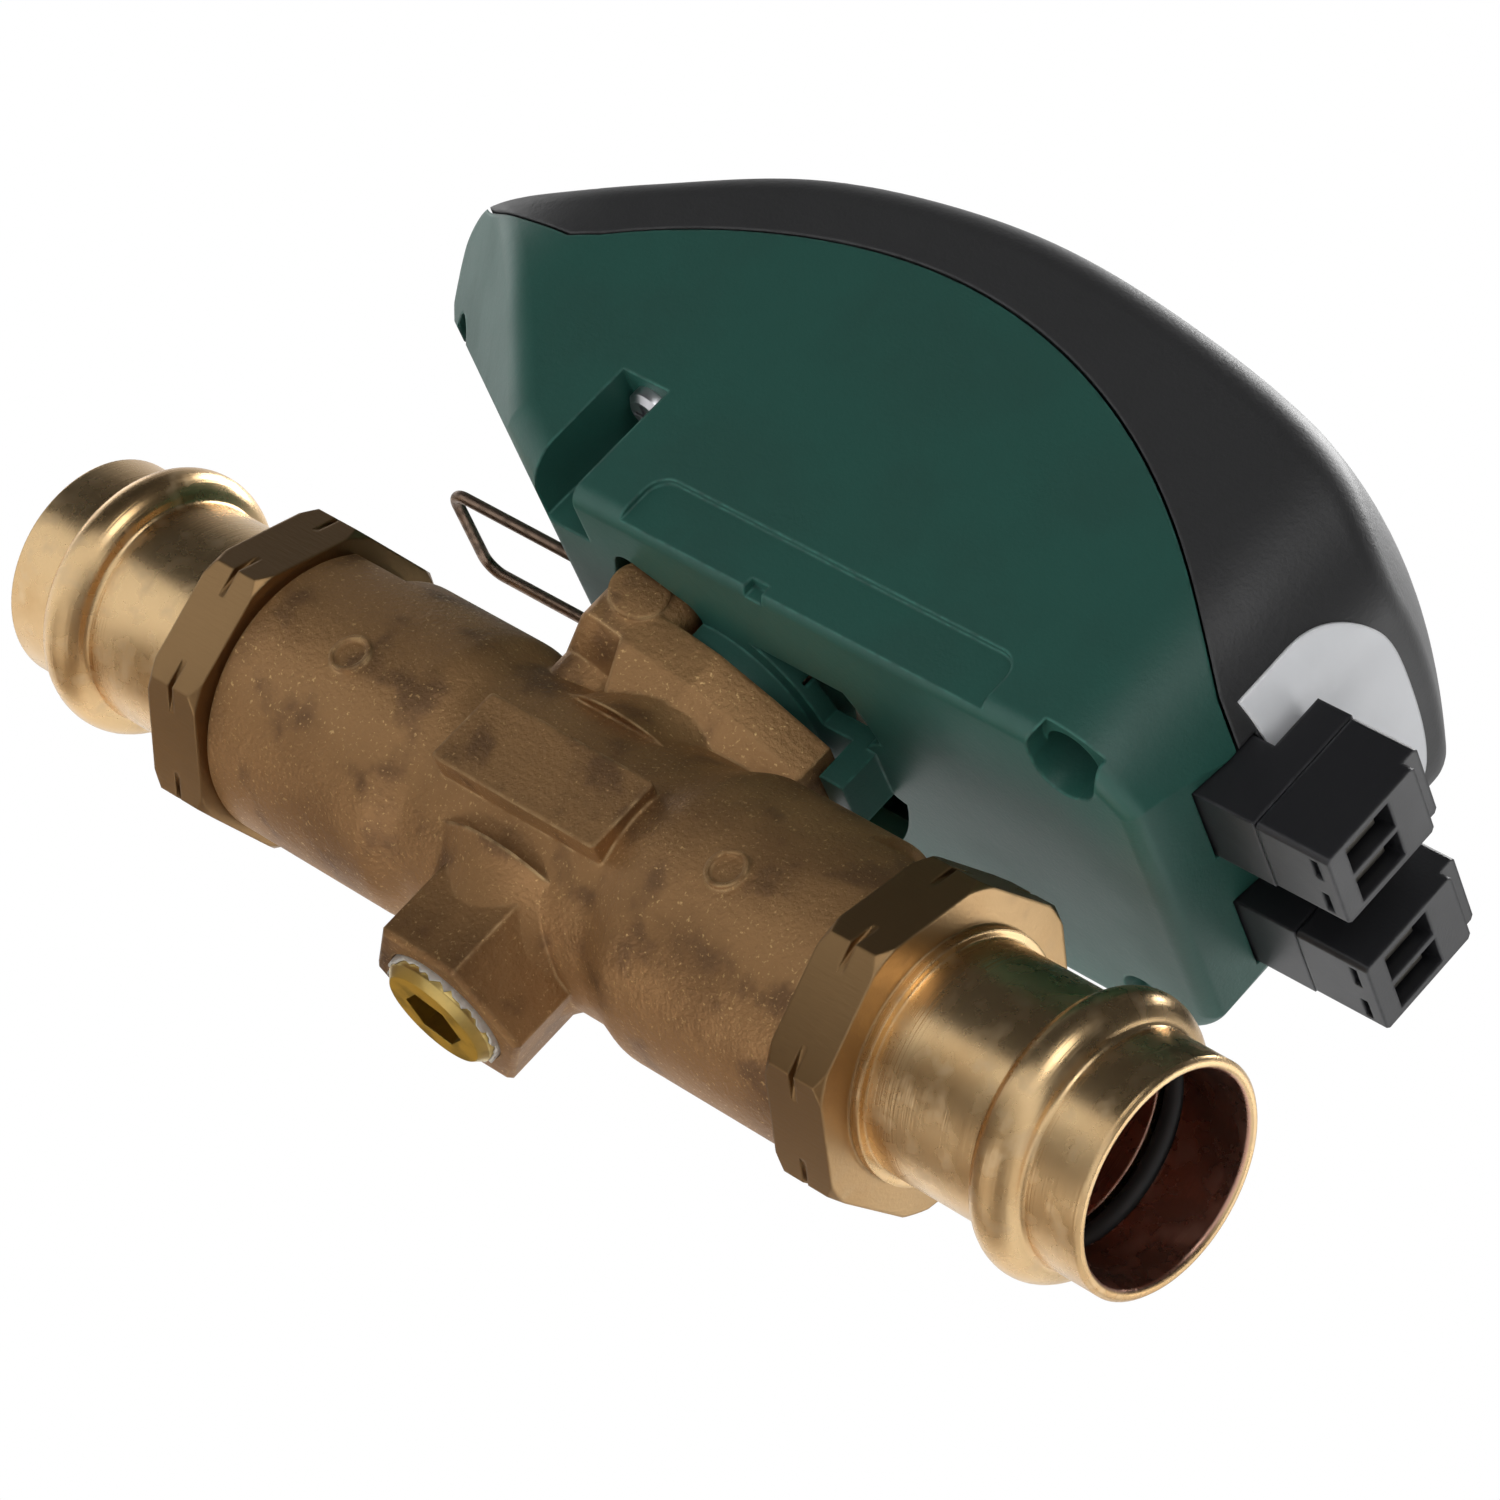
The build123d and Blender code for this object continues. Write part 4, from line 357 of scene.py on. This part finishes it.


# %% [markdown]
# ## The cast body
#
# The body is sand-cast bronze: brown, a little rough, with darker stains where the melt met the
# sand and bright flecks where rubbing has bared the skin. Three layers of colour are mixed by
# noise masks, and every edge is a little more golden, a painted highlight with a little wear.

# %% Cast bronze
SAND_DEPTH = 0.00028
CAST_EDGE = 0.0007
cast_bronze, tree, shader, spot = new_finish("cast_bronze", (0.36, 0.21, 0.10), 0.62, 0.5)
stain = place_group(tree, "patches", spot, "Mask", Scale=85, Detail=6, Low=0.42, High=0.66)
rust = place_group(tree, "patches", spot, "Mask", Scale=160, Detail=5, Low=0.52, High=0.70)
flecks = place_group(tree, "patches", spot, "Mask", Scale=2600, Detail=3, Low=0.60, High=0.74)
# Golden colour on every edge: a painted highlight, together with a little wear.
rubbed_and_highlit = place_group(tree, "edge_wear_and_highlight", spot, "Mask", Radius=0.0006, Breakup=500)
color = blend_colors(tree, stain, (0.37, 0.205, 0.084), (0.28, 0.152, 0.062))
color = blend_colors(tree, rust, color, (0.20, 0.108, 0.048))
color = blend_colors(tree, flecks, color, (0.62, 0.40, 0.17))
color = blend_colors(tree, rubbed_and_highlit, color, (0.66, 0.45, 0.22))
tree.links.new(color, shader.inputs["Base Color"])
tree.links.new(blend_values(tree, flecks, 0.52, 0.32), shader.inputs["Roughness"])
height = place_group(
    tree, "grain", spot, "Height", Fine_Scale=1700, Coarse_Scale=330, Coarse_Share=0.55)
raise_surface(tree, shader, height, SAND_DEPTH, normal=soften_edges(tree, CAST_EDGE))

# %% [markdown]
# ## The press ends
#
# The press ends are turned and drawn bronze, polished to a golden shine with very fine rings.
# The eight wrench flats are milled, so they are duller, and the bore is dark with oxide. All
# three finishes are one material: how far a point lies along the pipe, and how far from the
# pipe's axis, says which of them it has.

# %% Polished bronze
FLATS_FROM, FLATS_TO = 0.0491, 0.0485
BORE_FROM, BORE_TO = 0.01145, 0.01130
MILLED_ROUGHNESS = 0.42
LATHE_DEPTH = 0.00003
TURNED_EDGE = 0.0004
press_bronze, tree, shader, spot = new_finish("press_bronze", (0.82, 0.55, 0.25), 1.0, 0.22)
apart = tree.nodes.new("ShaderNodeSeparateXYZ")
tree.links.new(spot, apart.inputs[0])
along = add_node(tree, "ShaderNodeMath", {"operation": "ABSOLUTE"})
tree.links.new(apart.outputs["X"], along.inputs[0])
milled = add_node(tree, "ShaderNodeMapRange", From_Min=FLATS_FROM, From_Max=FLATS_TO)
tree.links.new(along.outputs[0], milled.inputs["Value"])
lines = place_group(tree, "turned_lines", spot, "Lines", Along=5200, Across=25)
cuts = place_group(tree, "turned_lines", spot, "Lines", Along=420, Across=2600)
tarnish = place_group(tree, "patches", spot, "Mask", Scale=70, Detail=5, Low=0.44, High=0.70)
smear = place_group(tree, "patches", spot, "Mask", Scale=420, Detail=5, Low=0.50, High=0.72)
color = blend_colors(tree, tarnish, (0.76, 0.53, 0.28), (0.62, 0.40, 0.19))
color = blend_colors(tree, smear, color, (0.70, 0.50, 0.28))
color = blend_colors(tree, milled.outputs["Result"], color, (0.30, 0.185, 0.085))
around = add_node(tree, "ShaderNodeVectorMath", {"operation": "MULTIPLY"})
around.inputs[1].default_value = (0, 1, 1)
tree.links.new(spot, around.inputs[0])
reach = add_node(tree, "ShaderNodeVectorMath", {"operation": "LENGTH"})
tree.links.new(around.outputs[0], reach.inputs[0])
inner = add_node(tree, "ShaderNodeMapRange", From_Min=BORE_FROM, From_Max=BORE_TO)
tree.links.new(reach.outputs["Value"], inner.inputs["Value"])
color = blend_colors(tree, inner.outputs["Result"], color, (0.62, 0.36, 0.27))
tree.links.new(color, shader.inputs["Base Color"])
shine = blend_values(tree, smear, 0.27, 0.38)
rough = add_node(tree, "ShaderNodeMix", {"data_type": "FLOAT"}, B=MILLED_ROUGHNESS)
tree.links.new(milled.outputs["Result"], rough.inputs["Factor"])
tree.links.new(shine, rough.inputs["A"])
tree.links.new(rough.outputs["Result"], shader.inputs["Roughness"])
height = add_node(tree, "ShaderNodeMix", {"data_type": "FLOAT"})
tree.links.new(milled.outputs["Result"], height.inputs["Factor"])
tree.links.new(lines, height.inputs["A"])
tree.links.new(cuts, height.inputs["B"])
raise_surface(
    tree, shader, height.outputs["Result"], LATHE_DEPTH, normal=soften_edges(tree, TURNED_EDGE))

# %% [markdown]
# ## Yellow brass, steel and chrome
#
# The drain plug and the stem are turned from yellow brass, lighter and greener than the bronze.
# The clip is spring wire with a brownish oxide. Screws, shafts and the motor can are bright
# steel, and the ball is polished and plated.


# %% Plain metals
def metal(name, color, roughness, scale, tone=0.75, depth=0.00001):
    """A metal whose colour and shine both change in patches."""
    material, tree, shader, spot = new_finish(name, color, 1.0, roughness)
    dull = place_group(tree, "patches", spot, "Mask", Scale=scale, Detail=5, Low=0.42, High=0.68)
    darker = tuple(part * tone for part in color)
    tree.links.new(blend_colors(tree, dull, color, darker), shader.inputs["Base Color"])
    rough = blend_values(tree, dull, roughness, roughness + 0.15)
    tree.links.new(rough, shader.inputs["Roughness"])
    height = place_group(
        tree, "grain", spot, "Height", Fine_Scale=scale * 20, Coarse_Scale=scale * 3)
    raise_surface(tree, shader, height, depth, normal=soften_edges(tree, 0.0002))
    return material


yellow_brass = metal("yellow_brass", (0.80, 0.62, 0.24), 0.28, 300)
spring_steel = metal("spring_steel", (0.27, 0.19, 0.14), 0.36, 700, 0.6)
bright_steel = metal("bright_steel", (0.58, 0.58, 0.60), 0.30, 250)
chrome_ball = metal("chrome_ball", (0.80, 0.80, 0.83), 0.08, 60, 0.92)
contact_metal = metal("contact_metal", (0.36, 0.34, 0.30), 0.40, 500)

# %% [markdown]
# ## Plastics
#
# Moulded plastic takes the fine spark-eroded grain of its mould. The base is a dark sea green,
# the cover and the connectors are black. A little coarse patchiness keeps wide faces from
# looking painted, and every edge is lightened as a painted highlight, with a little wear.


# %% Moulded plastics
def plastic(name, color, roughness, fine, depth, edge=1.5, patch=0.88, edge_radius=0.0005):
    """Moulded plastic: grain from the mould, faint patches, and edges lightened by a painted
    highlight with some wear.
    """
    material, tree, shader, spot = new_finish(name, color, 0.0, roughness)
    cloudy = place_group(tree, "patches", spot, "Mask", Scale=60, Detail=5, Low=0.40, High=0.66)
    # The edge mask paints a highlight along every edge, together with a little wear.
    wear_and_highlight = place_group(tree, "edge_wear_and_highlight", spot, "Mask", Radius=edge_radius, Breakup=700)
    tone = blend_colors(tree, cloudy, color, tuple(part * patch for part in color))
    tone = blend_colors(tree, wear_and_highlight, tone, tuple(min(part * edge, 1) for part in color))
    tree.links.new(tone, shader.inputs["Base Color"])
    rough = blend_values(tree, cloudy, roughness, roughness + 0.06)
    tree.links.new(rough, shader.inputs["Roughness"])
    height = place_group(tree, "grain", spot, "Height", Fine_Scale=fine, Coarse_Scale=fine / 5)
    raise_surface(tree, shader, height, depth, normal=soften_edges(tree, edge_radius))
    return material


green_plastic = plastic("green_plastic", (0.018, 0.085, 0.066), 0.44, 2600, 0.00006, edge=2.4)
black_plastic = plastic("black_plastic", (0.030, 0.030, 0.031), 0.46, 2200, 0.00008, edge=2.0)
connector_plastic = plastic(
    "connector_plastic", (0.013, 0.013, 0.015), 0.36, 3000, 0.00003, edge=3.0)
natural_plastic = plastic("natural_plastic", (0.74, 0.70, 0.60), 0.38, 2600, 0.00002, edge=1.1)
white_polymer = plastic("white_polymer", (0.80, 0.80, 0.77), 0.42, 2600, 0.00002, edge=1.1)
relay_plastic = plastic("relay_plastic", (0.52, 0.15, 0.05), 0.40, 2600, 0.00002)
capacitor_sleeve = plastic("capacitor_sleeve", (0.03, 0.04, 0.12), 0.22, 1500, 0.00001)
board_laminate = plastic("board_laminate", (0.02, 0.12, 0.06), 0.30, 1800, 0.00002)
black_rubber = plastic("black_rubber", (0.014, 0.014, 0.014), 0.55, 1800, 0.00003, edge=1.4)
light_plastic = plastic("light_plastic", (0.12, 0.50, 0.18), 0.15, 1800, 0.00001)

# %% [markdown]
# ## The status label
#
# The label is a plain silver-white film with the fine, paper-like tooth of such films. Its thin
# edges are a little lighter, a painted highlight together with some wear where it was cut.

# %% Label film
label_film = plastic(
    "label_film", (0.84, 0.85, 0.87), 0.40, 5000, 0.00001, edge=1.2, patch=0.95)

# %% Dress the CAD nodes
FINISHES = {
    "cast_bronze": cast_bronze,
    "press_bronze": press_bronze,
    "yellow_brass": yellow_brass,
    "black_rubber": black_rubber,
    "white_polymer": white_polymer,
    "chrome_ball": chrome_ball,
    "spring_steel": spring_steel,
    "bright_steel": bright_steel,
    "green_plastic": green_plastic,
    "black_plastic": black_plastic,
    "connector_plastic": connector_plastic,
    "natural_plastic": natural_plastic,
    "capacitor_sleeve": capacitor_sleeve,
    "relay_plastic": relay_plastic,
    "board_laminate": board_laminate,
    "label_film": label_film,
    "light_plastic": light_plastic,
    "contact_metal": contact_metal,
}
for part in frame["record"]["subparts"]:
    node = frame["nodes"][part["node"]]
    node.data.materials.clear()
    node.data.materials.append(FINISHES[part["material_slot"]])

# %% [markdown]
# ## The sealing tape
#
# White tape is wound round the drain plug's thread, and its torn edge sticks out of the mouth of
# the boss. A plain ring would look moulded. Here a short section is spun round the plug, and
# then the edge's vertices are pushed in and out by seeded random steps, so that the rim is
# ragged in the same way on each run. It stays between the thread and the wall of the mouth.

# %% Wind the tape
TAPE_INNER, TAPE_OUTER = 6.69 * MM, 7.08 * MM
TAPE_TOP, TAPE_EDGE = -20.8 * MM, -22.5 * MM
TAPE_STEPS = 90
TAPE_SAG, TAPE_PINCH = 0.55 * MM, 0.16 * MM
TAPE_RISE = -0.35
TAPE_SEED = 7
EDGE_BAND = 0.1 * MM
tape_mesh = bpy.data.meshes.new("thread_tape")
wound = bmesh.new()
corners = (
    (TAPE_INNER, TAPE_TOP), (TAPE_OUTER, TAPE_TOP),
    (TAPE_OUTER, TAPE_EDGE), (TAPE_INNER, TAPE_EDGE),
)
section = [wound.verts.new((radius, 0, height)) for radius, height in corners]
sides = [wound.edges.new((section[i], section[(i + 1) % 4])) for i in range(4)]
bmesh.ops.spin(wound, geom=section + sides, cent=(0, 0, 0), axis=(0, 0, 1), angle=2 * pi,
               steps=TAPE_STEPS, use_merge=True)
torn = Random(TAPE_SEED)
ragged = {}
for vert in wound.verts:
    if vert.co.z < TAPE_EDGE + EDGE_BAND:
        share = vert.co.to_2d().angle_signed(Vector((1, 0)), 0) / (2 * pi)
        turn_index = round(share * TAPE_STEPS) % TAPE_STEPS
        ragged.setdefault(turn_index, []).append(vert)
for turn_index in sorted(ragged):
    sag = torn.uniform(TAPE_RISE, 1.0) * TAPE_SAG
    pinch = torn.random() * TAPE_PINCH
    for vert in ragged[turn_index]:
        vert.co.z -= sag
        if vert.co.to_2d().length > (TAPE_INNER + TAPE_OUTER) / 2:
            vert.co.xy *= 1 - pinch / TAPE_OUTER
bmesh.ops.recalc_face_normals(wound, faces=wound.faces)
wound.to_mesh(tape_mesh)
wound.free()
tape_mesh.materials.append(white_polymer)
thread_tape = bpy.data.objects.new("thread_tape", tape_mesh)
bpy.context.scene.collection.objects.link(thread_tape)
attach(thread_tape, "valve_and_head")
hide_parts("drain_seal")
print("Tape faces:", len(tape_mesh.polygons))

# %% [markdown]
# ## The floor
#
# The floor is a wide pale sheet under the valve's lowest point. Seen from below it is clear, and
# it lets the light of the lamp underneath pass, as a glass table would.

# %% Lay the floor
FLOOR_HALF = 3.0
low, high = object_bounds()
mesh = bpy.data.meshes.new("floor")
sheet = bmesh.new()
bmesh.ops.create_grid(sheet, x_segments=1, y_segments=1, size=FLOOR_HALF)
bmesh.ops.translate(sheet, verts=sheet.verts, vec=(0, 0, low[2]))
sheet.to_mesh(mesh)
sheet.free()
floor = bpy.data.objects.new("floor", mesh)
bpy.context.scene.collection.objects.link(floor)
pale = bpy.data.materials.new("pale_floor")
pale.use_nodes = True
tree = pale.node_tree
shader = tree.nodes["Principled BSDF"]
shader.inputs["Base Color"].default_value = (0.86, 0.86, 0.86, 1)
shader.inputs["Roughness"].default_value = 0.9
clear = tree.nodes.new("ShaderNodeBsdfTransparent")
side = tree.nodes.new("ShaderNodeNewGeometry")
path = tree.nodes.new("ShaderNodeLightPath")
through = add_node(tree, "ShaderNodeMath", {"operation": "MAXIMUM"})
mix = tree.nodes.new("ShaderNodeMixShader")
tree.links.new(side.outputs["Backfacing"], through.inputs[0])
tree.links.new(path.outputs["Is Shadow Ray"], through.inputs[1])
tree.links.new(through.outputs[0], mix.inputs["Fac"])
tree.links.new(shader.outputs[0], mix.inputs[1])
tree.links.new(clear.outputs[0], mix.inputs[2])
tree.links.new(mix.outputs[0], tree.nodes["Material Output"].inputs["Surface"])
mesh.materials.append(pale)

bpy.context.scene.view_settings.view_transform = "Standard"
